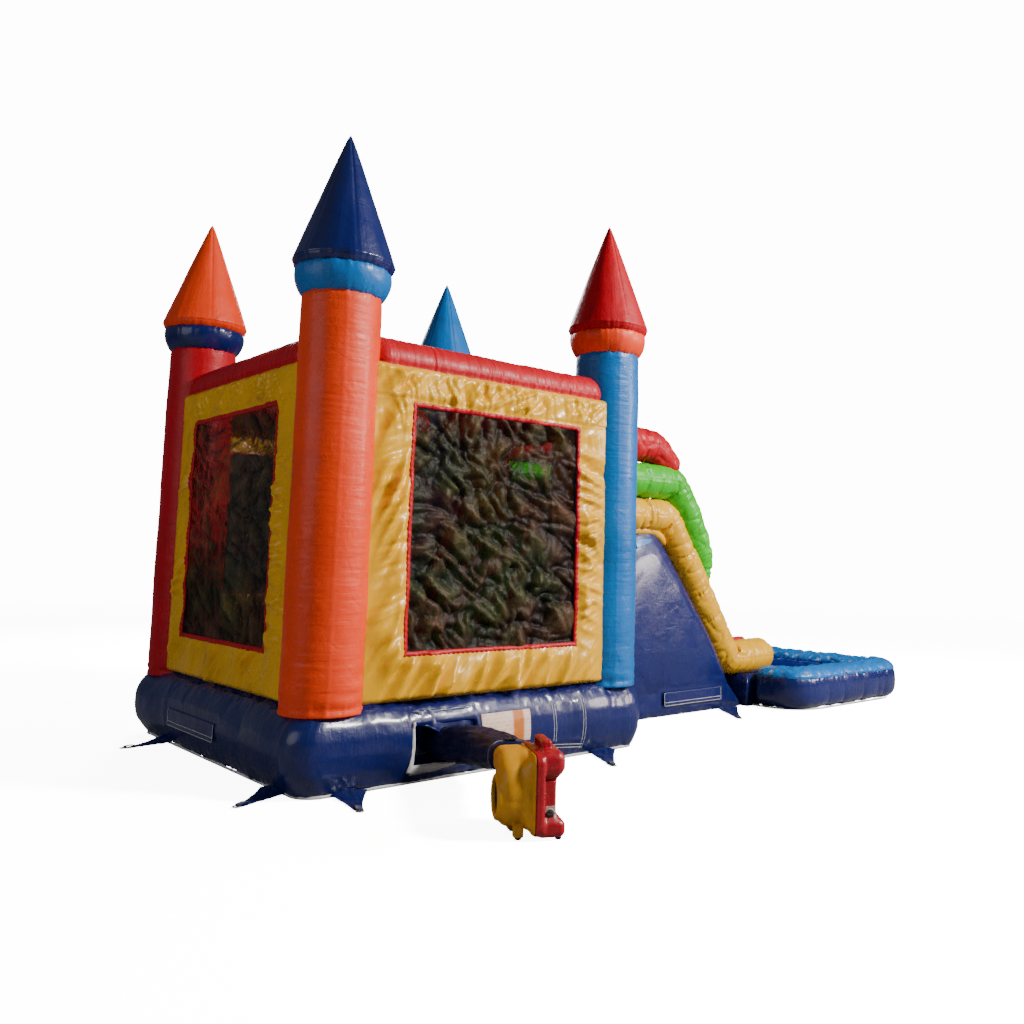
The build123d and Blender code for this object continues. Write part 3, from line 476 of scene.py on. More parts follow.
def base():
    """Inflated ring under the house, gathered along its top seam and drawn in at the port."""
    path, ways = plan_ring(BASE_HALF, BASE_HALF, BASE_CORNER, 0.0125)
    section = rounded(np.array(BASE_SECTION), 0.0125, 0.04)[:-1]
    points = swept(path, ways, section)
    out, up = section[None, :, 0], section[None, :, 1]
    flat = points * np.array([1, 1, 0.0])
    outer = band(clamp(-0.10 - out), 0.06)
    length = 0.03 + 0.15 * clamp(noise(flat * 7, 3) + 0.25)
    pleats = noise(flat * (17, 17, 1) + points * (0, 0, 1.5), 4) + 0.35 * noise(flat * (36, 36, 1), 5)
    top = np.exp(-clamp(0.535 - up) / length)
    bottom = np.exp(-clamp(up - 0.03) / 0.05)
    height = 0.015 * pleats * top + 0.007 * pleats * bottom
    height += 0.016 * noise(points * (2.0, 2.0, 1.6), 6) + 0.005 * noise(points * (5, 5, 4), 7)
    height -= 0.016 * ridges(flat * 2.3 + points * (0, 0, 0.8), 8) * (0.15 + top)
    height -= 0.010 * band(up - 0.528, 0.02)
    low, high = PORT[2], PORT[3] - 0.02
    port = box_mask(points[..., 0], PORT[:2], 0.035) * box_mask(points[..., 2], (low, high), 0.03)
    port = port * (points[..., 1] < -1.3)
    zip_zone = box_mask(points[..., 1], REAR_ZIP[0], 0.06) * box_mask(points[..., 2], REAR_ZIP[1], 0.05)
    zip_zone = zip_zone * (points[..., 0] < -1.3)
    height = height * (1 - zip_zone) - 0.006 * zip_zone - 0.14 * port
    outward = points - swept(path, ways, section.mean(0)[None])
    points = puffed(points, height * outer, BOTH, outward)
    bulge = box_mask(points[..., 0], (-2.0, -1.40), 0.15) * box_mask(points[..., 2], (0.20, 0.36), 0.22)
    points[..., 0] -= 0.045 * bulge * clamp((np.abs(points[..., 1] - 0.1) - 0.75) / 0.4)
    grain = xyz(up * 2, out * 2, np.linspace(0, 11.6, len(path))[:, None])
    return add_grid("base_tube", points, "vinyl_navy", BOTH, grain=grain, stands_for=["base_ring"])


def ground_strip(name, half_x, half_y, radius, centre_x, seed, stands_for=()):
    """Grey reinforcing strip round a foot."""
    path, ways = plan_ring(half_x, half_y, radius, 0.02, centre_x)
    ripple = 0.004 * noise(path * 9, seed)
    rise = 0.020 + 0.009 * noise(path * 5, seed + 1)
    section = [(0.0, 0.0), (0.006, 0.0), (0.006, 0.5), (0.004, 1.0), (0.0, 1.0), (-0.002, 0.5)]
    rows = [path + ways * (out + ripple * up)[:, None] + UP * (0.002 + rise * up)[:, None]
            for out, up in section]
    return add_grid(name, np.stack(rows, 1), "vinyl_grey", BOTH, stands_for=stands_for)


def slab(name, xs, ys, top, bottom, slot, **more):
    """Closed soft slab: top(x, y) over a flat bottom, edges rounded by the top's own shape."""
    x, y = np.meshgrid(xs, ys, indexing="ij")
    upper = xyz(x, y, top(x, y))
    low = upper.copy()
    low[..., 2] = bottom(x, y) if callable(bottom) else bottom
    points = np.concatenate([upper.reshape(-1, 3), low.reshape(-1, 3)])
    rows, columns = x.shape
    count = rows * columns
    faces = quads(rows, columns, False, False)
    faces = np.concatenate([faces, faces[:, ::-1] + count]).tolist()
    edge = [i * columns for i in range(rows)] + [(rows - 1) * columns + j for j in range(1, columns)]
    edge += [i * columns + columns - 1 for i in range(rows - 2, -1, -1)] + list(range(columns - 2, 0, -1))
    faces += [[a, b, b + count, a + count] for a, b in zip(edge, edge[1:] + edge[:1])]
    return add(name, points, faces, slot, **more)


def edge_drop(x, y, limits, reach, depth):
    """How far a pillow's top falls towards its edges."""
    near = np.minimum.reduce([x - limits[0], limits[1] - x, y - limits[2], limits[3] - y])
    share = clamp(1 - near / reach)
    return depth * (1 - np.sqrt(clamp(1 - share**2)))


FLOOR_HALF = 1.155


def floor():
    limits = (-FLOOR_HALF, FLOOR_HALF, -FLOOR_HALF, FLOOR_HALF)

    def top(x, y):
        rib = np.abs(np.sin(pi * (x + 0.14) / 0.28))
        here = xyz(x, y, 0.0)
        fine = 0.004 * noise(here * (14, 3, 1), 11) + 0.003 * noise(here * 9, 12)
        ribs = 0.515 - 0.045 * (1 - rib) ** 1.6 - 0.012 * np.exp(-rib / 0.06)
        return ribs + fine - edge_drop(x, y, limits, 0.1, 0.08)

    xs, ys = np.linspace(*limits[:2], 166), np.linspace(*limits[2:], 90)
    slab("floor_tubes", xs, ys, top, 0.252, "vinyl_royal", stands_for=["bounce_floor"])


# ------------------------------------------------------------------ turrets

TURRETS = {
    "orange": (-1.25, -1.25, "vinyl_orange", "vinyl_sky", "vinyl_navy"),
    "blue": (1.25, -1.25, "vinyl_sky", "vinyl_orange", "vinyl_red"),
    "red": (-1.25, 1.25, "vinyl_red", "vinyl_navy", "vinyl_orange"),
    "navy": (1.25, 1.25, "vinyl_navy", "vinyl_red", "vinyl_sky"),
}


def upright(x, y, heights, radii, around=132):
    """Turned shape on a vertical axis."""
    line = xyz(np.full_like(heights, x), np.full_like(heights, y), heights)
    points, grain, _, angle = tube(line, radii, around, (1.0, 0, 0))
    full = np.max(radii)
    ring = xyz(full * np.cos(angle), full * np.sin(angle), 0 * angle)[None]
    return points, grain, ring, angle, heights[:, None]


def turret(colour, x, y, column, cap, roof, seed):
    heights = np.linspace(0.490, 3.228, 230)
    points, grain, ring, angle, z = upright(x, y, heights, np.full(230, 0.268))
    height = 0.0013 * noise(grain * (5, 5, 46), seed) + 0.0007 * noise(grain * (9, 9, 95), seed + 1)
    height += 0.005 * noise(grain * (2.5, 2.5, 3.0), seed + 2)
    height += 0.006 * noise(grain * (4, 4, 17), seed + 3) * np.exp(-np.clip(z - 0.6, 0, 3) / 0.35)
    pleat = ridges(ring * 16, seed + 4)
    height += pinch(z - 0.535, pleat, 0.012, 0.03) + pinch(z - 3.222, pleat, 0.010, 0.025)
    for weld in (radians(70), radians(250)):
        height += 0.0022 * band(0.27 * np.angle(np.exp(1j * (angle - weld)))[None], 0.014)
    add_grid(f"turret_{colour}", puffed(points, height), column, grain=grain, stands_for=[f"column_{colour}"])

    heights = np.linspace(3.214, 3.412, 34)
    share = (heights - heights[0]) / (heights[-1] - heights[0])
    radii = 0.266 + 0.060 * share + 0.020 * np.sin(pi * share)
    points, grain, ring, angle, z = upright(x, y, heights, radii, 168)
    pleat = ridges(ring * 15, seed + 5) + 0.5 * noise(ring * 30, seed + 6)
    height = pinch(z - heights[0], pleat, 0.012, 0.03) + pinch(z - heights[-1], pleat, 0.014, 0.035)
    height += 0.004 * noise(ring * 8 + 0 * z[..., None], seed + 7)
    add_grid(f"turret_band_{colour}", puffed(points, height), cap, grain=grain[..., [0, 2, 1]],
             stands_for=[f"cap_band_{colour}"])

    share = np.concatenate([np.linspace(0, 0.06, 14), np.linspace(0.07, 1, 84)])
    heights = 3.402 + 0.998 * share
    radii = np.where(share < 0.06, 0.318 + 0.022 * np.sin(pi / 2 * clamp(share / 0.06)),
                     0.340 * (1 - (share - 0.06) / 0.94) ** 0.97 + 0.005)
    points, grain, ring, angle, z = upright(x, y, heights, radii, 168)
    pleat = ridges(ring * 15, seed + 5) + 0.5 * noise(ring * 30, seed + 6)
    width = radii[:, None] / 0.34
    height = pinch(z - heights[0], pleat, 0.013, 0.05) * width
    soft = noise(xyz(ring[..., 0] * 9, ring[..., 1] * 9, z * 2.2), seed + 8)
    height += 0.006 * soft * width
    for gore in range(6):
        away = np.angle(np.exp(1j * (angle - gore * pi / 3 - 0.3)))[None] * radii[:, None]
        height -= 0.0035 * band(away, 0.012)
    add_grid(f"turret_roof_{colour}", puffed(points, height), roof, grain=grain[..., [2, 1, 0]],
             stands_for=[f"cone_{colour}"])


def top_tube(name, degrees, seed):
    xs = domed_steps(-1.075, 1.075, 0.0095, 0.10)
    line = xyz(xs, np.full_like(xs, -1.27), np.full_like(xs, 2.84))
    points, grain, _, angle = tube(line, 0.17, 88, (0, 0, 1.0), 0.10, 0.10)
    pleat = ridges(grain * (0.8, 0.8, 12), seed) + 0.6 * ridges(grain * (1.5, 1.5, 27), seed + 1)
    height = -0.005 * pleat + 0.003 * noise(grain * (2, 2, 22), seed + 2)
    height += 0.004 * noise(grain * (3, 3, 3), seed + 3)
    for seam in (radians(100), radians(-75)):
        height -= 0.006 * band(0.17 * np.angle(np.exp(1j * (angle - seam)))[None], 0.02)
    points = turned(puffed(points, height), degrees)
    add_grid(f"edge_tube_{name}", points, "vinyl_red", grain=grain, stands_for=[f"top_tube_{name}"])


# ------------------------------------------------------------------ side sheets and nets

WINDOW = (-0.765, 0.765, 0.85, 2.54)
SMALL_WINDOW = (0.25, 0.88, 1.15, 2.40)
DOOR = (-0.80, 0.10, 0.40, 2.20)
SLIDE_DOOR = (-0.34, 0.34, 0.40, 2.60)
SHEET_Y = -1.438


def fitted(low, high, stops, step):
    """Even steps from low to high that fall exactly on the stops."""
    marks = sorted({low, high, *[s for s in stops if low < s < high]})
    parts = [np.linspace(a, b, max(2, int(round((b - a) / step)) + 1))[:-1] for a, b in zip(marks, marks[1:])]
    return np.append(np.concatenate(parts), high)


def edge_distance(x, z, hole):
    dx = np.maximum(hole[0] - x, x - hole[1])
    dz = np.maximum(hole[2] - z, z - hole[3])
    return np.where((dx < 0) & (dz < 0), np.maximum(dx, dz), np.hypot(np.maximum(dx, 0), np.maximum(dz, 0)))


def folds(x, z, degrees, long, short, seed):
    """Straight pulled folds at one angle, -0.5 to 0.5: sharp crests between soft hollows."""
    turn = radians(degrees)
    s, t = x * cos(turn) + z * sin(turn), z * cos(turn) - x * sin(turn)
    t = t + 0.22 * short * noise(xyz(s / long, t * 2, 0 * x), seed + 1)
    crest = np.abs(noise(xyz(s / long, t / short, 0 * x + 0.3), seed))
    valley = np.abs(noise(xyz(s / long, t / short, 0 * x + 7.7), seed + 2))
    return 0.5 - 1.3 * crest + 0.45 * valley


# Strong and light folds of each zone (foot, head, left, right): depth, degrees, length, width.
PULLS = (
    ((0.125, 57, 0.85, 0.125), (0.034, 44, 0.45, 0.060)),
    ((0.068, 36, 0.34, 0.078), (0.038, 104, 0.36, 0.052)),
    ((0.110, 63, 0.95, 0.120), (0.034, 22, 0.45, 0.065)),
    ((0.100, -16, 0.75, 0.110), (0.038, 24, 0.45, 0.062)),
)
BINDING = ((-0.012, -0.004), (-0.013, 0.004), (0.0, 0.008), (0.013, 0.0075), (0.017, 0.001), (0.0, -0.005))


def sheet_wave(x, z, seed, holes, size):
    """How far a side sheet stands out: pulled folds that turn from edge to edge, gathered at its seams."""
    flat = xyz(x, z, 0 * x)
    low, high = clamp((1.10 - z) / 0.35), clamp((z - 2.30) / 0.25)
    rest = (1 - low) * (1 - high)
    left, right = clamp((0.25 - x) / 0.9), clamp((x + 0.25) / 0.9)
    height = 0.0
    for k, (zone, pulls) in enumerate(zip((low, high, rest * left, rest * right), PULLS)):
        height = height + zone * sum(size * folds(x, z, *pull, seed + 8 * k + 4 * n)
                                     for n, (size, *pull) in enumerate(pulls))
    patches = np.clip(0.75 + 1.0 * noise(flat * 2.6, seed + 5), 0.25, 1.3)
    height = height * patches + 0.010 * noise(flat * 3.0, seed + 6)
    ends = np.minimum.reduce([(x + 1.075) * 0.30, (1.075 - x) * 0.30, (2.80 - z) * 1.2, (z - 0.53) * 1.2])
    quiet = np.clip(ends / 0.05, 0.0, 1)
    for hole in holes:
        quiet = quiet * np.clip(0.18 + edge_distance(x, z, hole) / 0.09, 0.18, 1)
    gather = noise(flat * (30, 2, 1), seed + 31) + 0.5 * noise(flat * (62, 3, 1), seed + 32)
    height = height * quiet * size
    height = height + 0.006 * gather * (np.exp(-(2.80 - z) / 0.10) + 0.7 * np.exp(-(z - 0.53) / 0.06))
    lap = 0.004 * clamp((z - 2.585) / 0.004) - 0.006 * band(z - 2.582, 0.010)
    return height + lap


def side_sheet(name, degrees, holes, seed, size):
    xs = fitted(-1.072, 1.072, [h for hole in holes for h in hole[:2]], 0.0125)
    zs = fitted(0.53, 2.805, [h for hole in holes for h in hole[2:]], 0.0125)
    x, z = np.meshgrid(xs, zs, indexing="ij")
    out = SHEET_Y - sheet_wave(x, z, seed, holes, size)
    out = out + 0.05 * clamp((0.57 - z) / 0.04) ** 2 + 0.02 * clamp((z - 2.77) / 0.035) ** 2
    points = turned(xyz(x, out, z), degrees)
    rows, columns = x.shape
    faces = quads(rows, columns, False, False)
    mid_x, mid_z = x.reshape(-1)[faces].mean(1), z.reshape(-1)[faces].mean(1)
    keep = np.ones(len(faces), bool)
    area = 2.144 * 2.275
    for a, b, c, d in holes:
        keep &= ~((mid_x > a) & (mid_x < b) & (mid_z > c) & (mid_z < d))
        area -= (b - a) * (d - max(c, 0.53))
    grain = xyz(x, z, 0 * x).reshape(-1, 3)
    sheet = add(f"side_sheet_{name}", points, faces[keep], "vinyl_yellow", grain, stands_for=[f"wall_{name}"])
    thick(sheet, 0.003)
    trims = [edging(f"edging_{name}_{k}", degrees, hole, holes, seed, size) for k, hole in enumerate(holes)]


def edging(name, degrees, hole, holes, seed, size):
    """Red binding sewn round an opening, puckered by its zigzag stitching."""
    a, b, c, d = hole
    c = max(c, 0.545)
    corners = [(a, c), (b, c), (b, d), (a, d), (a, c)]
    line = resample(np.array(corners), 0.010)[:-1]
    centre = np.array([(a + b) / 2, (c + d) / 2])
    run = np.arange(len(line)) * 0.010
    zigzag = np.abs((run / 0.04) % 1 - 0.5) * 2
    away = line - centre
    reach = np.stack([np.sign(away[:, 0]) * (np.abs(line[:, 0] - centre[0]) > (b - a) / 2 - 0.006),
                      np.sign(away[:, 1]) * (np.abs(line[:, 1] - centre[1]) > (d - c) / 2 - 0.006)], -1)
    rows = []
    for out, lift in BINDING:
        at = line + reach * (out + (0.004 * zigzag if out > 0 else 0.002 * zigzag)[:, None] * np.sign(out))
        wave = sheet_wave(at[:, 0], at[:, 1], seed, holes, size)
        rise = lift + 0.0025 * (zigzag - 0.5) * (lift > 0)
        rows.append(xyz(at[:, 0], SHEET_Y - wave - rise, at[:, 1]))
    points = turned(np.stack(rows, 1), degrees)
    return add_grid(name, points, "vinyl_red", BOTH)


def net(name, degrees, hole, holes, seed, size, slack):
    """Wrinkled netting sewn into a window."""
    a, b, c, d = hole
    xs = np.linspace(a + 0.002, b - 0.002, int((b - a) / 0.011))
    zs = np.linspace(c + 0.002, d - 0.002, int((d - c) / 0.011))
    x, z = np.meshgrid(xs, zs, indexing="ij")
    inside = np.minimum.reduce([x - a, b - x, z - c, d - z])
    fade = clamp(inside / 0.05) ** 0.7
    flat = xyz(x, z, 0 * x)
    turn = radians(-24) + 0.25 * noise(flat * 0.8, seed + 3)
    s, t = x * np.cos(turn) + z * np.sin(turn), z * np.cos(turn) - x * np.sin(turn)
    swells = creases(xyz(s * 2.6, t * 5.2, 0 * x), seed + 4, 2) - 0.25
    cross = creases(xyz(t * 2.2, s * 5.5, 0 * x), seed + 9, 2) - 0.25
    fine = creases(flat * (9.0, 12.0, 1), seed + 7, 2) - 0.25
    lift = 0.66 * swells + 0.30 * cross + 0.05 * fine
    height = slack * 0.22 * lift * fade - 0.004
    out = SHEET_Y - height - sheet_wave(x, z, seed, holes, size) * (1 - fade)
    points = turned(xyz(x, out, z), degrees)
    # Third value: fold height, which the net's paint turns into a painted highlight on crests and painted
    # shade in hollows.
    grain = xyz(x, z, clamp(0.5 + 1.6 * lift))
    piece = add_grid(f"net_{name}", points, "mesh_black", NEVER, grain=grain, stands_for=[f"window_{name}"])
    thick(piece, 0.0012)


SIDES = {
    "blower_side": (0, [WINDOW], 100, 1.0),
    "rear": (-90, [WINDOW], 200, 0.75),
    "entrance": (180, [SMALL_WINDOW, DOOR], 300, 0.65),
    "slide_side": (90, [SLIDE_DOOR], 400, 0.45),
}


# ------------------------------------------------------------------ slide

KNEE = np.array([2.81, 1.95])
FOOT = np.array([3.79, 0.49])
DOWN = (FOOT - KNEE) / np.linalg.norm(FOOT - KNEE)
OUT = np.array([-DOWN[1], DOWN[0]])


def beside(offset):
    """Knee and foot of a line parallel to the lower rail's axis."""
    knee = np.array([KNEE[0] + offset * (1 - OUT[1]) / OUT[0], KNEE[1] + offset])
    foot_z = FOOT[1] + offset
    return knee, np.array([knee[0] + (knee[1] - foot_z) * DOWN[0] / -DOWN[1], foot_z])


def rail(name, corners, radius, y, slot, seed, reach, squeeze, dome, seams, stands_for):
    """Inflated rail along corners, thinned by squeeze and gathered at its seams."""
    line = rounded(np.array([(x, y, z) for x, z in corners]), 0.011, reach)
    run = along(line)
    radii = radius * np.interp(run, *squeeze)
    points, grain, run, angle = tube(line, radii, 92, ACROSS, 0.03, dome)
    bend = np.linalg.norm(np.gradient(unit(np.gradient(line, axis=0)), axis=0), axis=1) / 0.011
    bend = np.convolve(bend, np.ones(15) / 15, "same")[:, None]
    pleat = ridges(grain * (0.9, 0.9, 14), seed) + 0.5 * ridges(grain * (1.6, 1.6, 30), seed + 1)
    height = -(0.004 + 0.006 * clamp(bend / 2)) * pleat
    height += 0.0025 * noise(grain * (4, 4, 36), seed + 2) + 0.007 * noise(grain * (3, 3, 3.5), seed + 3)
    height -= 0.012 * ridges(grain * (3.2, 3.2, 6.5) + grain[..., [2, 2, 0]] * (1.4, 0.6, 0), seed + 6)
    for at in seams:
        gather = ridges(grain * (18, 18, 1), seed + 4)
        height += pinch(run[:, None] - at, gather, 0.017, 0.030)
    for seam in (radians(2), radians(180)):
        height -= 0.004 * band(radius * np.angle(np.exp(1j * (angle - seam)))[None], 0.014)
    return add_grid(name, puffed(points, height), slot, grain=grain, stands_for=stands_for)


# Kind, colour, radius, corners in X and Z, squeeze along the rail, rounding, end dome, seams.
RAILS = (
    ("lower", "yellow", 0.171, [(1.465, 1.95), tuple(KNEE), tuple(FOOT), (4.51, 0.50)],
     ([0, 3.1, 3.4, 4.0], [1.0, 1.0, 1.08, 1.04]), 0.085, 0.13, (1.0, 1.33, 1.78, 2.22, 2.54, 3.08)),
    ("middle", "green", 0.181, [(1.465, 2.300), (2.905, 2.300), (3.32, 1.70), (3.41, 1.44), (3.36, 1.22)],
     ([0, 1.3, 1.9, 2.3, 2.65], [1.0, 1.0, 0.95, 0.80, 0.40]), 0.17, 0.10, (0.95, 1.5)),
    ("upper", "red", 0.177, [(1.465, 2.650), (2.60, 2.650), (2.97, 2.40)],
     ([0, 1.0, 1.25, 1.6], [1.0, 1.0, 0.95, 0.62]), 0.13, 0.13, (0.95,)),
)
UNDER_STRIP = [(1.9, 1.80), (2.60, 1.80), (2.72, 1.74), (2.79, 1.66)]


def rails():
    for side, y, seed in (("near", -0.49, 500), ("far", 0.49, 560)):
        for k, (kind, colour, radius, corners, squeeze, reach, dome, seams) in enumerate(RAILS):
            rail(f"{kind}_rail_{side}", corners, radius, y, f"vinyl_{colour}", seed + 20 * k, reach, squeeze,
                 dome, seams, [f"{colour}_rail_{side}"])
        under = rounded(np.array(UNDER_STRIP), 0.02, 0.07)
        line = xyz(under[:, 0], y * 1.07, under[:, 1])
        points, grain, _, _ = tube(line, 0.045, 28, ACROSS, 0.03, 0.12)
        height = 0.004 * noise(grain * (3, 3, 22), seed + 9)
        add_grid(f"under_strip_{side}", puffed(points, height), "vinyl_yellow", grain=grain)


def slide_front(z):
    """X of the slope's underside at a height."""
    knee, _ = beside(-0.155)
    x = knee[0] + (knee[1] - z) * DOWN[0] / -DOWN[1]
    return np.minimum(x, 3.94)


def slide_body():
    heights = np.concatenate([np.linspace(0.004, 0.05, 6), np.linspace(0.065, 1.772, 128)])
    rows = []
    for z in heights:
        front = slide_front(z)
        path = plan_ring_count((front - 1.545) / 2, 0.645, 0.09, 330, (front + 1.545) / 2)
        rows.append(path + np.array([0, 0, z]))
    points = np.array(rows)
    x, y, z = points[..., 0], points[..., 1], points[..., 2]
    sides = clamp((np.abs(y) - 0.5) / 0.12) ** 2
    fill = clamp((x - 1.545) * (slide_front(z) - x) / 0.35) ** 0.6
    tall = clamp((1.80 - z) / 0.25) ** 0.5 * clamp((z - 0.24) / 0.40) ** 0.8
    height = 0.055 * sides * fill * tall
    flat = xyz(x, 3 * np.sign(y), z)
    fold = ridges(flat * (1.8, 1, 2.4) + (0, 0.37, 0), 602) * np.clip((0.7 - z) / 0.5, 0.1, 1)
    height += sides * (0.006 * noise(flat * (4, 1, 2.5), 601) - 0.010 * fold)
    gather = noise(flat * (28, 1, 3), 603)
    height += 0.010 * gather * sides * np.exp(-z / 0.07)
    edge = clamp(slide_front(z) - x)
    across = noise(xyz(z * 26, x * 3, 3 * np.sign(y)), 604)
    height += 0.008 * across * sides * np.exp(-edge / 0.07)
    tuck = np.exp(-(((x - 2.17) / 0.19) ** 2 + ((z - 1.70) / 0.15) ** 2))
    height -= 0.085 * sides * tuck
    zip_zone = box_mask(x, (2.60, 3.56), 0.05) * box_mask(z, (0.08, 0.26), 0.04) * sides
    height = height * (1 - zip_zone)
    points = puffed(points, height)
    points[..., 1] -= np.sign(y) * 0.10 * clamp((z - 0.62) / 1.13) ** 1.35
    round_in = clamp(1 - edge / 0.24)
    points[..., 1] -= np.sign(y) * 0.15 * (1 - np.sqrt(1 - round_in**2)) * clamp(z / 0.3)
    bottom = clamp(1 - z / 0.06)[..., None]
    points = points * (1 - bottom * (0, 0.04, 0))
    grain = xyz(x, y, z * 0.3)
    return add_grid("slide_chamber", points, "vinyl_navy", grain=grain, stands_for=["slide_body"])


def plan_ring_count(half_x, half_y, radius, count, centre_x):
    """plan_ring with a fixed number of points."""
    path, _ = plan_ring(half_x, half_y, radius, 0.02, centre_x)
    closed = np.concatenate([path, path[:1]])
    run = along(closed)
    at = np.linspace(0, run[-1], count, endpoint=False)
    return np.stack([np.interp(at, run, closed[:, k]) for k in range(3)], -1)


def slide_bed():
    """Deck and lane: cross tubes of vinyl between the rails."""
    knee, foot = beside(-0.105)
    line = rounded(np.array([(1.50, knee[1]), tuple(knee), tuple(foot), (3.96, foot[1])]), 0.012, 0.12)
    run = along(line)
    ahead = unit(np.gradient(line, axis=0))
    up = np.stack([-ahead[:, 1], ahead[:, 0]], -1)
    half = 0.345
    ys = np.linspace(-half, half, 56)[None]
    crown = 0.012 * np.abs(np.sin(pi * run / 0.30)) ** 0.5
    wave = noise(xyz(run[:, None] * 20, ys * 4, 0.0), 620)
    rows = []
    for level, share in ((0, 1), (1, 0)):
        height = share * (crown[:, None] + 0.003 * wave + 0.03 * (np.abs(ys) / half) ** 6) - 0.055 * level
        x, z = (line[:, None, k] + up[:, None, k] * height for k in (0, 1))
        rows.append(xyz(x, ys, z))
    points = np.concatenate([rows[0], rows[1][:, ::-1]], 1)
    grain = xyz(points[..., 1], 0.0, run[:, None])
    add_grid("slide_lane", points, "vinyl_royal", grain=grain, stands_for=["slide_bed"])


def end_rolls():
    middle = 0.54
    for k, y in enumerate((-0.273, 0.273)):
        xs = domed_steps(3.88, 4.43, 0.01, 0.08)
        points, grain, _, _ = tube(xyz(xs, y, middle), 0.055, 64, ACROSS, 0.08, 0.08)
        points[..., 2] = middle + (points[..., 2] - middle) * 2.6
        height = 0.004 * noise(grain * (4, 4, 24), 630 + k) + 0.004 * noise(grain * 9, 632 + k)
        stands = ["slide_end_bumpers"] if k == 0 else []
        add_grid(f"end_roll_{k}", puffed(points, height), "vinyl_red", grain=grain, stands_for=stands)


# ------------------------------------------------------------------ climbing wall and step


CLIMB_FOOT = np.array([0.56, 0, 0.50])
CLIMB_RISE = np.array([0.49, 0, 1.33])
CLIMB_HALF = 0.556
GRIP_RADII = np.array([0.0, 0.02, 0.035, 0.044, 0.050, 0.054, 0.055, 0.055])
GRIP_RISE = np.array([0.045, 0.045, 0.042, 0.036, 0.027, 0.014, 0.0, -0.03])


def climb():
    """Climbing wall of four pleats, with side tubes and two grips in each of five rows."""
    xs, ys = np.linspace(CLIMB_FOOT[0], 1.42, 110), np.linspace(-CLIMB_HALF, CLIMB_HALF, 90)
    limits = (0.50, 1.60, -CLIMB_HALF, CLIMB_HALF)

    def top(x, y):
        face = CLIMB_FOOT[2] + (x - CLIMB_FOOT[0]) * CLIMB_RISE[2] / CLIMB_RISE[0]
        rib = 0.03 * np.abs(np.sin(pi * (y + CLIMB_HALF) / 0.278)) ** 0.6
        height = np.minimum(face, 1.80) + rib - 0.02 + 0.004 * noise(xyz(x, y, face) * (6, 14, 6), 640)
        return height - edge_drop(x, y, limits, 0.05, 0.03)

    slab("climb_wall", xs, ys, top, lambda x, y: np.where(x < 1.15, 0.49, 0.56), "vinyl_green",
         stands_for=["climbing_wall"])
    upward = unit(CLIMB_RISE)
    for k, y in enumerate((-0.641, 0.641)):
        line = np.array([0.60, y, 0.62]) + np.linspace(0, 1.47, 150)[:, None] * upward
        points, grain, _, _ = tube(line, 0.082, 48, ACROSS, 0.05, 0.06)
        height = 0.004 * noise(grain * (3, 3, 24), 650 + k) - 0.004 * ridges(grain * (1, 1, 13), 652 + k)
        stands = ["climbing_side_tubes"] if k == 0 else []
        add_grid(f"climb_bolster_{k}", puffed(points, height), "vinyl_red", grain=grain, stands_for=stands)
    normal = np.array([-CLIMB_RISE[2], 0, CLIMB_RISE[0]]) / np.hypot(CLIMB_RISE[2], CLIMB_RISE[0])
    across = np.array(ACROSS)
    angle = np.linspace(0, 2 * pi, 36, endpoint=False)
    around = np.cos(angle)[None, :, None] * across + np.sin(angle)[None, :, None] * upward
    grips = []
    for row in range(5):
        at = CLIMB_FOOT + (row + 1) / 6 * CLIMB_RISE
        shift = 0.11 if row % 2 else 0.0
        for y in (-0.33 + shift, 0.11 + shift):
            lumps = 1 + 0.10 * np.sin(3 * angle + row) + 0.05 * np.sin(5 * angle + y * 9)
            ring = GRIP_RADII[:, None, None] * lumps[None, :, None] * around
            grips.append((at + across * y + ring + GRIP_RISE[:, None, None] * normal, (False, True)))
    add_grids("climb_grips", grips, "vinyl_yellow", stands_for=["climbing_grips"])


def entrance_step():
    xs, ys = np.linspace(-0.25, 0.95, 96), np.linspace(1.50, 2.32, 74)
    limits = (-0.25, 0.95, 1.42, 2.32)

    def top(x, y):
        fall = np.interp(y, [1.5, 1.79, 2.32], [0.36, 0.36, 0.16])
        rib = 0.022 * np.abs(np.sin(pi * (y - 1.52) / 0.267)) ** 0.6
        here = xyz(x, y, 0 * x)
        return fall + rib - 0.02 + 0.004 * noise(here * (16, 5, 1), 660) - edge_drop(x, y, limits, 0.09, 0.10)

    slab("step_pillow", xs, ys, top, 0.004, "vinyl_red", stands_for=["entrance_step"])


# ------------------------------------------------------------------ pool


def pool_path(step):
    corners = [(4.13, -0.71), (4.13, -1.14), (5.90, -1.14), (5.90, 1.14), (4.13, 1.14), (4.13, 0.71)]
    line = rounded(np.array([(x, y, 0.0) for x, y in corners]), step, 0.27)
    ahead = unit(np.gradient(line, axis=0))
    return line, np.cross(ahead, [0, 0, 1.0]), along(line)


def pool_section(low, high, count, grow=0.0):
    """Part of the wall's rounded section, by angle: 0 is outward and 90 up."""
    a = np.radians(np.linspace(low, high, count))
    power = 2 / 2.8
    wide = np.sign(np.cos(a)) * np.abs(np.cos(a)) ** power * (0.178 + grow)
    tall = np.sign(np.sin(a)) * np.abs(np.sin(a)) ** power * (0.198 + grow)
    return np.stack([wide, 0.202 + tall], -1), a


POOL_MIDDLE = 0.2  # height of the wall's middle


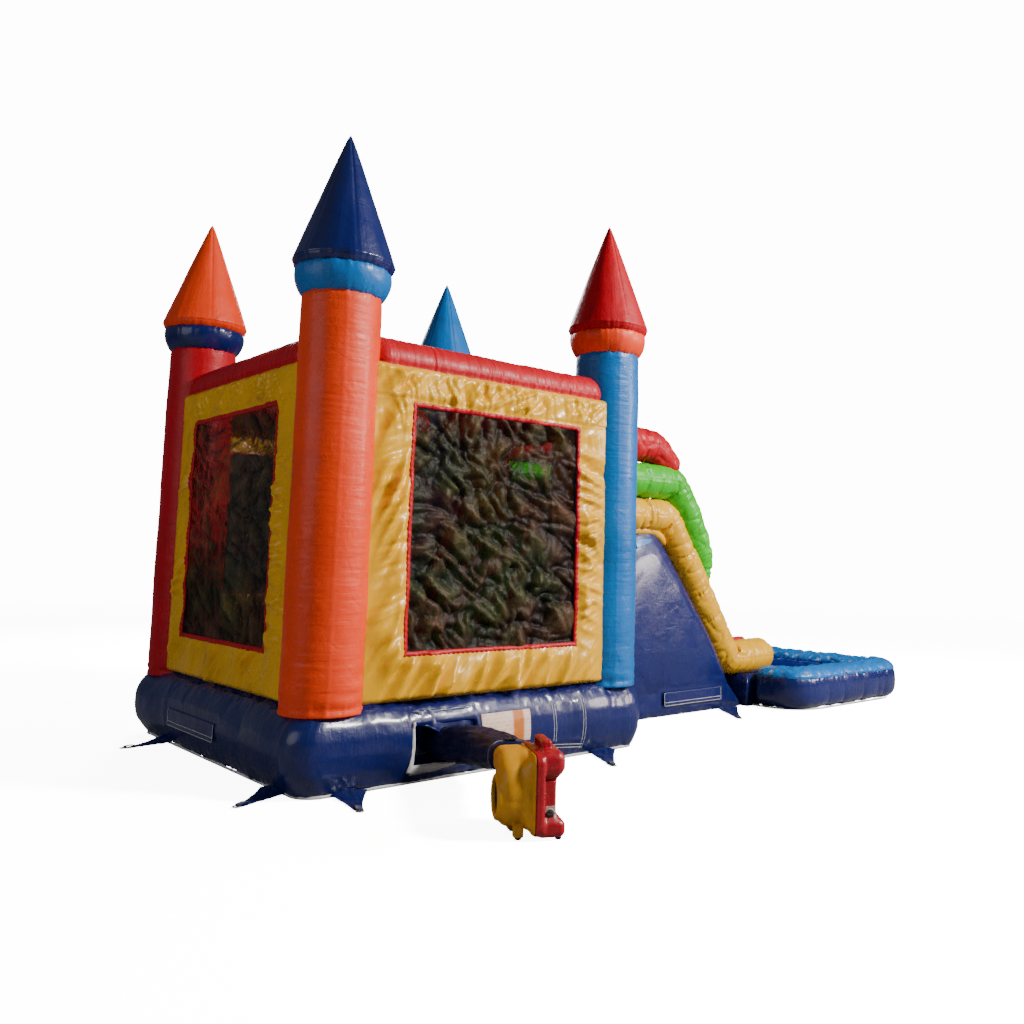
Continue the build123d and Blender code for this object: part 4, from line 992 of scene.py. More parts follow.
def pool():
    """Splash pool: navy wall, wrinkled sky crown, lining, floor sheet and the pad under the slide's end."""
    line, ways, run = pool_path(0.0125)
    ends = np.minimum(run, run[-1] - run)
    close = np.sqrt(np.clip(1 - clamp(1 - ends / 0.09) ** 2, 0.02, 1))[:, None, None]
    flat = line * np.array([1, 1, 0])

    def skin(section, seed):
        """Points, outward ways, soft lift and gathers of a section carried round the wall."""
        out, up = section[None, :, :1], section[None, :, 1:2] - POOL_MIDDLE
        points = line[:, None] + ways[:, None] * out * close + UP * (POOL_MIDDLE + up * (0.3 + 0.7 * close))
        here = flat[:, None] + 0 * points
        gather = noise(here * 24, seed + 1) + 0.6 * noise(here * 52, seed + 2)
        return points, unit(ways[:, None] * out + UP * up), 0.006 * noise(points * (3, 3, 3), seed), gather

    section, angle = pool_section(0, 360, 76)
    section, angle = section[:-1], angle[:-1]
    points, out, lift, gather = skin(section, 700)
    near_rim = sum(np.exp(-np.abs(np.degrees(angle) - at) / 14)[None] for at in (28, 300))
    height = lift + 0.007 * gather * near_rim - 0.008 * ridges(flat[:, None] * 2.2 + 0 * points, 705)
    grain = xyz(section[None, :, 0], section[None, :, 1], run[:, None])
    points = points + out * height[..., None]
    add_grid("pool_tube", points, "vinyl_navy", grain=grain, stands_for=["pool_wall"])

    for name, low, high, slot, node, seed in (("pool_crown", 30, 152, "vinyl_sky", "pool_rim", 710),
                                              ("pool_lining", 150, 236, "vinyl_royal", None, 720)):
        outer, _ = pool_section(low, high, 44, 0.007)
        inner, _ = pool_section(low, high, 44, -0.004)
        share = np.linspace(0, 1, 44)
        points, out, lift, gather = skin(outer, seed)
        edge = np.exp(-share / 0.2) + np.exp(-(1 - share) / 0.2)
        pull = creases(points * (6.5, 6.5, 3.0), seed + 4, 2) - 0.3
        rich = 0.011 * edge * gather + 0.020 * np.sin(pi * share) + 0.040 * pull
        height = 0.5 * lift + (rich if slot == "vinyl_sky" else 0.005 * gather + 0.02 * pull)
        top = points + out * (height - 0.006 * (share < 0.03) - 0.006 * (share > 0.97))[..., None]
        under = skin(inner, seed)[0]
        loop = np.concatenate([top, under[:, ::-1]], 1)
        there_and_back = np.concatenate([share, share[::-1]])[None]
        grain = xyz(there_and_back * 0.4, 0.0, run[:, None])
        add_grid(name, loop, slot, grain=grain, stands_for=[node] if node else [])

    xs, ys = np.linspace(4.28, 5.83, 105), np.linspace(-1.07, 1.07, 128)

    def top(x, y):
        here = xyz(x, y, 0 * x)
        return 0.030 + 0.012 * creases(here * 3.2, 730) + 0.004 * noise(here * 8, 731)

    slab("pool_sheet", xs, ys, top, 0.003, "vinyl_royal", stands_for=["pool_floor"])
    xs, ys = np.linspace(3.90, 4.42, 44), np.linspace(-0.70, 0.70, 90)

    def pad(x, y):
        fall = 0.28 * clamp((x - 4.15) / 0.27) ** 1.6
        return 0.325 - fall + 0.004 * noise(xyz(x * 6, y * 16, 0.0), 732)

    slab("landing_pad", xs, ys, pad, 0.003, "vinyl_navy")


# ------------------------------------------------------------------ pieces laid on a skin


def skin_tree(obj):
    return BVHTree.FromPolygons([v.co for v in obj.data.vertices], [p.vertices for p in obj.data.polygons])


def laid_on(tree, points, way, lift):
    """Points moved along way until lift short of the skin."""
    way = Vector(way)
    flat = points.reshape(-1, 3)
    moved = [tuple(h[0] - way * lift) if (h := tree.ray_cast(Vector(p), way))[0] else tuple(p) for p in flat]
    return np.array(moved).reshape(points.shape)


def stitches(name, tree, start, end, way):
    """Sewn line on the base's skin between two points given outside it."""
    width, lift, stitch = 0.006, 0.001, 0.02
    start, end = np.array(start, float), np.array(end, float)
    count = max(4, int(np.linalg.norm(end - start) / 0.008))
    line = start + np.linspace(0, 1, count)[:, None] * (end - start)
    line = rounded(laid_on(tree, line, way, lift), 0.008, 0.02)
    half = np.full(len(line), width / 2)
    half *= 0.55 + 0.45 * clamp(3 * np.abs(np.sin(pi * along(line) / stitch)))
    points, grain, _, _ = tube(line, half, 10, way, width / 2, width / 2)
    way = np.array(way, float)
    points = points - ((points - line[:, None]) @ way)[..., None] * way * 0.5
    return add_grid(name, points, None, grain=grain, paint=THREAD)


def patch(name, tree, across, upward, way, lift, paint):
    """Sewn-on rectangle that follows the skin; across and upward are (low, high) in the skin's plane."""
    u, v = np.meshgrid(np.linspace(*across, 40), np.linspace(*upward, 24), indexing="ij")
    points = laid_on(tree, xyz(u, IN_FRONT, v), way, lift)
    grain = xyz(u - across[0], v - upward[0], 0.0)
    return thick(add_grid(name, points, None, NEVER, grain=grain, paint=paint), 0.002)


# Top and bottom of each stitched seam beside the label, in X and Z.
SEAMS = [((x + 0.018, low), (x, high)) for x, low, high in
         ((0.489, 0.14, 0.43), (0.512, 0.14, 0.42), (0.780, 0.05, 0.45), (0.803, 0.05, 0.44))]
SEAMS += [((0.51, z), (0.82, z - 0.030)) for z in (0.125, 0.101)]


def fittings(house, chamber):
    """Label, stitched seams and corner gussets."""
    label = patch("label_patch", house, (-0.17, 0.27), (0.19, 0.41), ACROSS, 0.004, LABEL)
    for k, ends in enumerate(SEAMS):
        stitches(f"seam_line_{k}", house, *[(x, IN_FRONT, z) for x, z in ends], ACROSS)
    for side in (-1, 1):
        u, v = np.meshgrid(np.linspace(0, 1, 14), np.linspace(0, 1, 12), indexing="ij")
        start = xyz(2.33 + 0.20 * u, side * 2.0, 1.715 - 0.10 * v * (1 - 0.75 * u))
        points = laid_on(chamber, start, (0, -side, 0), 0.004)
        gusset = add_grid(f"gusset_{'near' if side < 0 else 'far'}", points, "vinyl_sky", NEVER)
        thick(gusset, 0.002)


FLAP_DEEP = 0.13
TAPE = ((-0.053, 0.0004), (-0.053, 0.0014), (-0.061, 0.0014), (-0.0625, 0.0018), (-0.0675, 0.0018),
        (-0.069, 0.0014), (-0.077, 0.0014), (-0.077, 0.0004))
SLIDER = [((0.055, 0.0055, -0.065), (0.013, 0.0022, 0.008)),
          ((0.066, 0.0075, -0.065), (0.004, 0.0018, 0.004)),
          ((0.086, 0.0080, -0.065), (0.015, 0.0012, 0.0045))]


def slider_field(p):
    """Distance from a zip slider and its pull."""
    body, bridge, pull = [rounded_box(p, centre, half, 0.001) for centre, half in SLIDER]
    hole = rounded_box(p, (0.094, 0.008, -0.065), (0.004, 0.01, 0.0024), 0.0008)
    return np.maximum(soft_join(soft_join(body, bridge, 0.001), pull, 0.001), -hole)


def zip_port(where, place, length, way):
    """Deflation zip: tape with teeth on the skin, slider with its pull, and the hemmed cover flap."""
    body = f"{where}_flap"
    seed = 800 if where == "rear" else 820

    def stand(u, v, out):
        """How far the flap stands off the skin."""
        ripple = 0.003 * noise(xyz(u, v, 0.0) * (7, 5, 1), seed) * clamp(-v / 0.04)
        return out + np.clip(ripple, -0.0015, 1) + 0.004 * (v / FLAP_DEEP) ** 2

    u, v = np.meshgrid(np.linspace(0, length, int(length / 0.012)), np.linspace(0, -FLAP_DEEP, 14),
                       indexing="ij")
    flap = add_grid(f"{body}_sheet", place(u, stand(u, v, 0.0135), v), "vinyl_navy", NEVER,
                    grain=xyz(v * 0.1, u * 0.1, u), body=body, stands_for=[f"zip_flap_{where}"])
    thick(flap, 0.0025)
    near, far, top, foot = 0.004, length - 0.004, -0.004, -0.126
    for k, (a, b, c, d) in enumerate(((near, far, foot, foot), (near, far, -0.096, -0.096),
                                      (near, near, top, foot), (far, far, top, foot))):
        t = np.linspace(0, 1, 80)
        u, v = a + (b - a) * t, c + (d - c) * t
        line = place(u, stand(u, v, 0.0155), v)
        width = 0.0032 * (0.6 + 0.4 * clamp(3 * np.abs(np.sin(pi * along(line) / 0.02))))
        points, grain, _, _ = tube(line, width, 8, way, 0.004, 0.004)
        add_grid(f"{body}_hem_{k}", points, None, grain=grain, paint=THREAD, body=body)

    us = np.linspace(0.02, length - 0.02, int(length / 0.004))
    tooth = 0.5 + 0.5 * np.sign(np.sin(2 * pi * us / 0.012))
    rows = [place(us, out + (0.0008 * tooth if -0.068 < v < -0.062 else 0 * tooth), np.full_like(us, v))
            for v, out in TAPE]
    stands = ["zip_tapes"] if where == "rear" else []
    add_grid(f"{body}_tape", np.stack(rows, 1), "webbing_navy", stands_for=stands)

    points, faces = moulded(slider_field, (0.038, 0.001, -0.077), (0.105, 0.0115, -0.053), 0.0008)
    add(f"{body}_pull", place(*points.T), faces, "steel_zinc", body=f"{where}_slider",
        stands_for=[f"zip_slider_{where}"])


PORT_HEM = ([-0.72, -0.60, -0.48, -0.40, -0.30, -0.22], [0.405, 0.372, 0.312, 0.332, 0.318, 0.285])
PORT_EDGES = (  # name, corners as X from the port's left edge and Z, half widths, the way it is wide
    ("side", [(0.005, 0.41), (0.012, 0.25), (-0.012, 0.085)], (0.010, 0.016, 0.024), (1.0, 0, 0)),
    ("foot", [(-0.012, 0.100), (0.16, 0.102), (0.35, 0.104)], (0.030, 0.026, 0.004), (0, 0, 1.0)),
)


def port(tree):
    """Hemmed opening in the base that the inflation sleeve leaves through."""
    low_x, high_x, top_z = PORT[0] - 0.02, PORT[1] + 0.02, 0.475
    xs = np.linspace(low_x, high_x, 70)
    hem = np.interp(xs, *PORT_HEM)
    x, v = np.meshgrid(xs, np.linspace(0, 1, 16), indexing="ij")
    z = top_z + (hem[:, None] - top_z) * v
    fold = 0.5 + 0.5 * noise(xyz(x * 13, z * 4, 0.0), 850)
    inward = np.clip(np.minimum(x - low_x, high_x - x) / 0.08, 0.15, 1)
    depth = 0.003 + (0.012 + 0.030 * fold) * np.sin(pi / 2 * v) * inward
    start = laid_on(tree, xyz(x, IN_FRONT, 0.47), ACROSS, 0.0)
    points = xyz(x, start[..., 1] - depth, z)
    flap = add_grid("port_flap", points, "vinyl_navy", NEVER, grain=xyz(z * 0.2, z * 0.2, x))
    thick(flap, 0.003)
    line = rounded(points[:, -1], 0.008, 0.02)
    ring, grain, _, _ = tube(line, 0.0085, 12, ACROSS, 0.006, 0.006)
    hems = [add_grid("port_hem_top", ring, "vinyl_navy", grain=grain)]
    for name, corners, wide, side in PORT_EDGES:
        way = rounded(np.array([(low_x + a, 0, b) for a, b in corners]), 0.01, 0.03)
        half = np.interp(np.linspace(0, 1, len(way)), [0, 0.55, 1], wide)
        rows = []
        for out, lift in ((-1, 0.002), (-1, 0.008), (0, 0.011), (1, 0.008), (1, 0.002)):
            at = way + np.array(side) * half[:, None] * out
            skin = laid_on(tree, xyz(at[:, 0], IN_FRONT, at[:, 2]), ACROSS, 0.0)
            rows.append(xyz(at[:, 0], np.minimum(skin[:, 1], -1.505) - lift, at[:, 2]))
        add_grid(f"port_hem_{name}", np.stack(rows, 1), "vinyl_grey")


# ------------------------------------------------------------------ ground anchors

# Where each tab leaves the object, and its eyelet, in plan.
ANCHORS = [((-1.462, 0.900), (-1.806, 0.811)), ((-1.462, -1.130), (-1.808, -1.340)),
           ((-1.150, -1.462), (-1.290, -1.870)), ((1.040, -1.462), (0.760, -1.900)),
           ((-1.150, 1.462), (-1.290, 1.870)), ((1.110, 1.462), (1.250, 1.870)),
           ((3.600, -0.655), (3.200, -1.150)), ((3.600, 0.655), (3.200, 1.150))]
TAB_TIP = 0.030  # half widths of a tab at its eyelet, and how much wider its root is
TAB_FLARE = 0.095


def anchor_tab(k, root, way, across, length):
    """Tapering tab laid on the ground, arched and wrinkled near its root."""
    t, w = np.meshgrid(np.linspace(0, 1, 46), np.linspace(-1, 1, 22), indexing="ij")
    wide = TAB_TIP + TAB_FLARE * (1 - t) ** 1.5
    here = xyz(t * length, w * wide, 0.0)
    arch = 0.030 * np.exp(-t / 0.25) + 0.020 * np.abs(noise(xyz(t * 3, w * 1.1, 0.0), 900 + k)) * (1 - t)
    wrinkle = 0.010 * np.abs(noise(here * (14, 30, 1), 920 + k)) * (1 - 0.6 * t)
    lift = 0.004 + arch * (1 - 0.5 * w**2) + wrinkle
    points = root + here[..., :1] * way + here[..., 1:2] * across + lift[..., None] * UP
    tab = add_grid(f"anchor_tab_{k}", points, "vinyl_navy", NEVER, grain=here[..., [1, 2, 0]],
                   stands_for=["anchor_tabs"] if k == 0 else [])
    thick(tab, 0.003)


def anchors():
    rings, loops = [], []
    angle = np.linspace(0, 2 * pi, 40, endpoint=False)
    turn = np.linspace(0, 2 * pi, 12, endpoint=False)
    radius = 0.0215 + 0.0065 * np.cos(turn)[None]
    far = np.where(np.cos(angle) > 0, 0.030, -0.055) * np.abs(np.cos(angle)) ** 0.5
    for k, (root, eye) in enumerate(ANCHORS):
        root, eye = np.array([*root, 0.0]), np.array([*eye, 0.0])
        way = unit(eye - root)
        across = np.array([-way[1], way[0], 0])
        anchor_tab(k, root, way, across, np.linalg.norm(eye - root) - 0.035)
        ring = xyz(eye[0] + radius * np.cos(angle)[:, None], eye[1] + radius * np.sin(angle)[:, None],
                   0.0085 + 0.004 * np.sin(turn)[None])
        rings.append((ring, BOTH))
        loop = []
        for out, thin in ((-0.020, 0.0), (0.020, 0.0), (0.020, 0.0022), (-0.020, 0.0022)):
            tall = (0.0105 - thin) * np.sign(np.sin(angle)) * np.abs(np.sin(angle)) ** 0.6
            core = eye - way * 0.040 + (far * (1 - thin * 8))[:, None] * way
            loop.append(core + across * out + (0.0118 + tall)[:, None] * UP)
        loops.append((np.stack(loop, 1), BOTH))
    add_grids("anchor_rings", rings, "steel_zinc", stands_for=["anchor_eyelets"])
    add_grids("anchor_loops", loops, "webbing_navy")


# ------------------------------------------------------------------ moulded shapes


def soft_join(a, b, reach):
    """Union of two distance fields with a fillet."""
    near = clamp(1 - np.abs(a - b) / reach)
    return np.minimum(a, b) - near * near * reach / 4


def soft_meet(a, b, reach):
    return -soft_join(-a, -b, reach)


def rounded_box(p, centre, half, radius):
    away = np.abs(p - np.array(centre)) - np.array(half) + radius
    outside = np.linalg.norm(np.maximum(away, 0), axis=-1)
    return outside + np.minimum(away.max(-1), 0) - radius


def moulded(field, low, high, cell):
    """Points and quads where a distance field crosses zero."""
    axes = [np.arange(a, b + cell, cell) for a, b in zip(low, high)]
    value = field(np.stack(np.meshgrid(*axes, indexing="ij"), -1))
    shape = np.array(value.shape)
    total, count, found = np.zeros((shape.prod(), 3)), np.zeros(shape.prod()), []
    for axis in range(3):
        one = np.eye(3, dtype=int)[axis]
        cut = tuple(slice(0, n - o) for n, o in zip(shape, one))
        nxt = tuple(slice(o, n) for n, o in zip(shape, one))
        first, second = value[cut], value[nxt]
        at = np.argwhere((first < 0) != (second < 0))
        u, v = [k for k in range(3) if k != axis]
        at = at[(at[:, u] > 0) & (at[:, v] > 0)]
        a, b = first[tuple(at.T)], second[tuple(at.T)]
        crossing = at + (a / (a - b))[:, None] * one
        ring = []
        for du, dv in ((0, 0), (-1, 0), (-1, -1), (0, -1)):
            cell_at = at.copy()
            cell_at[:, u] += du
            cell_at[:, v] += dv
            key = np.ravel_multi_index(tuple(cell_at.T), shape)
            np.add.at(total, key, crossing)
            np.add.at(count, key, 1)
            ring.append(key)
        face = np.stack(ring, 1)
        flip = a < 0 if axis != 1 else a >= 0
        face[flip] = face[flip][:, ::-1]
        found.append(face)
    faces = np.concatenate(found)
    used, faces = np.unique(faces, return_inverse=True)
    points = total[used] / count[used][:, None] * cell + np.array(low)
    return points, faces.reshape(-1, 4)


# ------------------------------------------------------------------ blower

BLOWER = radians(63)
BLOWER_AT = np.array([-0.785, -2.822, 0])
HUB = 0.205  # height of the fan's shaft
OUTLET_X = 0.25
KNOB = np.array([-0.120, -0.084, 0.131])


def from_blower(points):
    """Blower frame (X along the outlet, Y to the inlet) to the row frame."""
    c, s = cos(BLOWER), sin(BLOWER)
    return points @ np.array([[c, s, 0], [-s, c, 0], [0, 0, 1]]) + BLOWER_AT


def snail(p):
    """Distance from the fan housing's spiral outline, seen along the shaft."""
    x, z = p[..., 0], p[..., 2] - HUB
    turn = np.degrees(np.arctan2(z, x))
    radius = np.interp(turn, [-180, -135, -90, -45, 0, 45, 90, 120, 150, 180],
                       [0.155, 0.166, 0.180, 0.164, 0.150, 0.190, 0.235, 0.214, 0.176, 0.155])
    return np.hypot(x, z) - radius


def back_plate(p, grow):
    """Distance from the rounded flange outline that both housing halves share."""
    flat = p * np.array([1.0, 0, 1.0])
    return rounded_box(flat, (0.048, 0, 0.2335), (0.208 + grow, 1.0, 0.2065 + grow), 0.055)


def inlet_half(p):
    y = p[..., 1]
    share = clamp(y / 0.08)
    share = share * share * (3 - 2 * share)
    outline = back_plate(p, -0.008) * (1 - share) + (snail(p) + 0.022 * share) * share
    drum = soft_meet(outline, y - 0.180, 0.070)
    duct = rounded_box(p, (0.115, 0.081, 0.365), (0.14, 0.092, 0.075), 0.055)
    outer = soft_join(drum, duct, 0.04)
    ring = np.hypot(p[..., 0], p[..., 2] - HUB)
    collar = soft_meet(ring - 0.120, y - 0.202, 0.018)
    outer = soft_join(outer, np.maximum(collar, 0.12 - y), 0.020)
    flange = soft_meet(back_plate(p, 0.006), np.abs(y - 0.006) - 0.0055, 0.006)
    outer = soft_join(outer, flange, 0.008)
    for x in (-0.09, 0.08):
        outer = soft_join(outer, rounded_box(p, (x, 0.082, 0.050), (0.026, 0.028, 0.038), 0.008), 0.014)
    hollow = soft_meet(outline + 0.010, y - 0.168, 0.06)
    throat = rounded_box(p, (0.18, 0.081, 0.365), (0.19, 0.082, 0.065), 0.045)
    outer = soft_meet(outer, -soft_join(hollow, throat, 0.02), 0.002)
    outer = soft_meet(outer, -np.maximum(ring - 0.090, 0.10 - y), 0.012)
    return np.maximum(outer, 0.0004 - y)


def motor_half(p):
    y = p[..., 1]
    outer = soft_meet(back_plate(p, 0.010), -(y + 0.050), 0.024)
    duct = rounded_box(p, (0.10, 0.02, 0.365), (0.15, 0.068, 0.078), 0.018)
    outer = soft_join(outer, duct, 0.02)
    grip = rounded_box(p, (0.0, -0.095, 0.397), (0.152, 0.074, 0.066), 0.050)
    waist = rounded_box(p, (0.0, -0.075, 0.22), (0.122, 0.048, 0.16), 0.022)
    foot = rounded_box(p, (0.0, -0.095, 0.057), (0.157, 0.075, 0.046), 0.034)
    outer = soft_join(outer, soft_join(soft_join(grip, waist, 0.045), foot, 0.055), 0.018)
    handle = rounded_box(p, (0.045, -0.078, 0.476), (0.108, 0.030, 0.031), 0.018)
    outer = soft_join(outer, handle, 0.014)
    outer = soft_meet(outer, -rounded_box(p, (0.045, -0.078, 0.473), (0.082, 0.09, 0.013), 0.009), 0.005)
    recess = rounded_box(p, (-0.125, -0.088, 0.318), (0.022, 0.036, 0.014), 0.008)
    outer = soft_meet(outer, -recess, 0.008)
    for k in range(5):
        vent = rounded_box(p, (0.0, -0.125, 0.17 + 0.026 * k), (0.07, 0.012, 0.005), 0.004)
        outer = soft_meet(outer, -vent, 0.004)
    hollow = soft_meet(snail(p) + 0.012, -(y + 0.042), 0.02)
    throat = rounded_box(p, (0.16, 0.02, 0.365), (0.18, 0.060, 0.065), 0.014)
    outer = np.maximum(outer, -soft_join(hollow, throat, 0.02))
    ring = np.hypot(p[..., 0], p[..., 2] - HUB)
    outer = np.maximum(outer, -np.maximum(ring - 0.072, -(y + 0.114)))
    stem_hole = np.hypot(y - KNOB[1], p[..., 2] - KNOB[2]) - 0.007
    outer = np.maximum(outer, -np.maximum(stem_hole, p[..., 0] + 0.10))
    return np.maximum(outer, y + 0.0004)


def knob(p):
    """Distance from the fluted switch knob."""
    y, z = p[..., 1] - KNOB[1], p[..., 2] - KNOB[2]
    ring = np.hypot(y, z)
    flutes = 0.0012 * np.cos(12 * np.arctan2(z, y))
    disc = soft_meet(ring - 0.021 - flutes, np.abs(p[..., 0] + 0.1285) - 0.006, 0.003)
    bar = rounded_box(p, (-0.135, KNOB[1], KNOB[2]), (0.006, 0.018, 0.004), 0.002)
    stem = np.maximum(ring - 0.005, np.abs(p[..., 0] + 0.114) - 0.010)
    return soft_join(soft_join(disc, bar, 0.003), stem, 0.001)


def plate(p):
    """Distance from the switch's plate and bezel."""
    board = rounded_box(p, (-0.1205, KNOB[1], KNOB[2]), (0.0022, 0.034, 0.043), 0.002)
    ring = np.hypot(p[..., 1] - KNOB[1], p[..., 2] - KNOB[2])
    bezel = np.maximum(np.abs(ring - 0.027) - 0.003, np.abs(p[..., 0] + 0.1215) - 0.0035)
    return np.maximum(soft_join(board, bezel, 0.002), -(ring - 0.008))


def guard_wires():
    """Rings and spokes of the inlet grille, as lines in the blower's frame."""
    for radius in (0.020, 0.040, 0.060, 0.080):
        turn = np.linspace(0, 2 * pi, 80)[:-1]
        yield xyz(radius * np.cos(turn), 0.1795, HUB + radius * np.sin(turn)), True
    for turn in (0, 45, 90, 135):
        c, s = cos(radians(turn)) * 0.0845, sin(radians(turn)) * 0.0845
        yield np.linspace((-c, 0.1825, HUB - s), (c, 0.1825, HUB + s), 30), False


PAD_RINGS = [(0.002, 0.0), (0.015, 0.0), (0.018, 0.002), (0.018, 0.005), (0.0165, 0.006), (0.018, 0.007),
             (0.018, 0.0135), (0.002, 0.0135)]  # radius and height
BLOWER_NODES = {"blower_motor": "motor_grey", "blower_shaft": "steel_zinc",
                "blower_impeller": "plastic_black", "blower_screws": "steel_zinc"}


def blower():
    cell = 0.0036
    for name, half, low, high, slot, node in (
            ("blower_snail", inlet_half, (-0.20, -0.012, 0.0), (0.27, 0.21, 0.47), "housing_yellow",
             "blower_inlet_housing"),
            ("blower_back", motor_half, (-0.20, -0.19, 0.0), (0.27, 0.012, 0.53), "housing_red",
             "blower_motor_housing")):
        points, faces = moulded(half, low, high, cell)
        points[:, 0] = np.minimum(points[:, 0], OUTLET_X)
        add(name, from_blower(points), faces, slot, stands_for=[node])
    y, z = KNOB[1], KNOB[2]
    points, faces = moulded(knob, (-0.145, y - 0.027, z - 0.027), (-0.100, y + 0.027, z + 0.027), 0.0012)
    add("blower_knob", from_blower(points), faces, "plastic_black", body="switch",
        stands_for=["blower_switch"])
    points, faces = moulded(plate, (-0.129, y - 0.04, z - 0.05), (-0.115, y + 0.04, z + 0.05), 0.0014)
    add("blower_plate", from_blower(points), faces, None, paint=PLATE)

    grids = []
    turn = np.linspace(0, 2 * pi, 8, endpoint=False)
    for line, closed in guard_wires():
        ahead = np.roll(line, -1, 0) - np.roll(line, 1, 0) if closed else np.gradient(line, axis=0)
        side = unit(np.cross(unit(ahead), ACROSS))
        ring = np.cos(turn)[None, :, None] * side[:, None] + np.sin(turn)[None, :, None] * np.array(ACROSS)
        grids.append((from_blower(line[:, None] + 0.0016 * ring), (closed, True)))
    add_grids("blower_guard", grids, "plastic_black", stands_for=["blower_grille"])

    grids = []
    turn = np.linspace(0, 2 * pi, 28, endpoint=False)
    for x, y in ((-0.09, 0.08), (0.08, 0.08), (-0.12, -0.135), (0.12, -0.135)):
        rings = [xyz(x + r * np.cos(turn), y + r * np.sin(turn), z) for r, z in PAD_RINGS]
        grids.append((from_blower(np.stack(rings)), (False, True)))
    add_grids("blower_pads", grids, "rubber_black", stands_for=["blower_feet"])
    for node, slot in BLOWER_NODES.items():
        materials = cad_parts[node].data.materials
        materials.clear()
        materials.append(PAINTS[slot])


SLEEVE_MOUTH = [[0.215, 0.062, 0.365], [0.28, 0.062, 0.365], [0.40, 0.062, 0.355]]  # in the blower's frame
SLEEVE_END = [[-0.53, -2.12, 0.31], [-0.40, -1.84, 0.27], [-0.37, -1.60, 0.245], [-0.37, -1.42, 0.24]]
SLEEVE_RUN = [0, 0.06, 0.16, 0.35, 0.8, 1.05]
SLEEVE_WIDE = [0.128, 0.128, 0.128, 0.126, 0.140, 0.165, 0.200]
SLEEVE_TALL = [0.086, 0.086, 0.092, 0.104, 0.122, 0.122, 0.112]
STRAP_AT = 0.075
STRAP_SECTION = ((-0.022, 0.0), (-0.022, 0.004), (0.0, 0.0052), (0.022, 0.004), (0.022, 0.0), (0.0, -0.001))


def clasp(p):
    """Distance from the strap's two-bar buckle."""
    outer = rounded_box(p, (0, 0.003, 0), (0.030, 0.006, 0.027), 0.004)
    for x in (-0.012, 0.012):
        outer = soft_meet(outer, -rounded_box(p, (x, 0.003, 0), (0.007, 0.02, 0.020), 0.002), 0.002)
    return outer


def squarish(wave):
    return np.sign(wave) * np.abs(wave) ** 0.75


def sleeve():
    """Fabric duct, drawn onto the outlet by its strap and spreading into the port."""
    line = rounded(np.concatenate([from_blower(np.array(SLEEVE_MOUTH)), SLEEVE_END]), 0.010, 0.12)
    run = along(line)
    wide = np.interp(run, [*SLEEVE_RUN, run[-1]], SLEEVE_WIDE)
    tall = np.interp(run, [*SLEEVE_RUN, run[-1]], SLEEVE_TALL)
    ahead = unit(np.gradient(line, axis=0))
    across = unit(np.cross(ahead, UP))
    upward = np.cross(across, ahead)
    angle = np.linspace(0, 2 * pi, 110, endpoint=False)
    c, s = squarish(np.cos(angle)), squarish(np.sin(angle))
    points = (line[:, None] + (wide[:, None] * c[None])[..., None] * across[:, None] +
              (tall[:, None] * s[None])[..., None] * upward[:, None])
    grain = xyz(0.14 * np.cos(angle)[None], 0.14 * np.sin(angle)[None], run[:, None])
    free = clamp((run - 0.10) / 0.10)[:, None]
    folded = 0.030 * (creases(grain * (9.0, 9.0, 2.6), 950, 2) - 0.3)
    height = free * (folded + 0.005 * noise(grain * (20, 20, 5), 953))
    gather = ridges(xyz(np.cos(angle)[None] * 3.4, np.sin(angle)[None] * 3.4, 0 * run[:, None]), 954)
    height += -0.010 * gather * np.exp(-np.abs(run - STRAP_AT) / 0.05)[:, None]
    height -= 0.007 * band(run - STRAP_AT, 0.03)[:, None]
    duct = puffed(points, height)
    duct[..., 2] = np.maximum(duct[..., 2], 0.012)
    add_grid("sleeve_duct", duct, "vinyl_navy", grain=grain * (1, 1, 0.1), paint=SLEEVE,
             stands_for=["inflation_sleeve"])

    at = int(np.argmin(np.abs(run - STRAP_AT)))
    rows = []
    for shift, out in STRAP_SECTION:
        flat = (wide[at] - 0.004 + out) * c[:, None] * across[at]
        flat += (tall[at] - 0.004 + out) * s[:, None] * upward[at]
        rows.append(line[at] + flat + ahead[at] * shift)
    add_grid("sleeve_webbing", np.stack(rows, 1), "webbing_navy", BOTH, stands_for=["sleeve_strap"])
    points, faces = moulded(clasp, (-0.034, -0.006, -0.031), (0.034, 0.012, 0.031), 0.0016)
    place = np.stack([across[at], upward[at], ahead[at]], 0)
    add("sleeve_buckle", points @ place + line[at] + (tall[at] + 0.004) * upward[at], faces, "plastic_black")


# ------------------------------------------------------------------ stage and camera


STAGE_LIGHT = 14.0
STAGE_GLOW = 9.0
STAGE_TINT = 7.0
LIGHTS = (  # name, place, aim, size, power, colour
    ("key", (6.4, -10.6, 9.2), (0.8, -0.6, 1.4), 2.2, 2800, (1, 0.96, 0.90)),
    ("gleam", (10.4, -8.6, 4.4), (2.3, -0.65, 1.4), 3.0, 680, (1, 0.87, 0.84)),
    ("fill", (-9.0, -1.0, 4.0), (0.0, 0.0, 1.4), 6.0, 140, (0.95, 0.97, 1)),
    ("back", (4.0, 10.0, 8.0), (1.0, 0.0, 1.6), 5.0, 850, (1, 1, 1)),
)
FLOOR_REACH = 60.0
CAMERA_AT = (-4.183, -6.9312, 1.5)


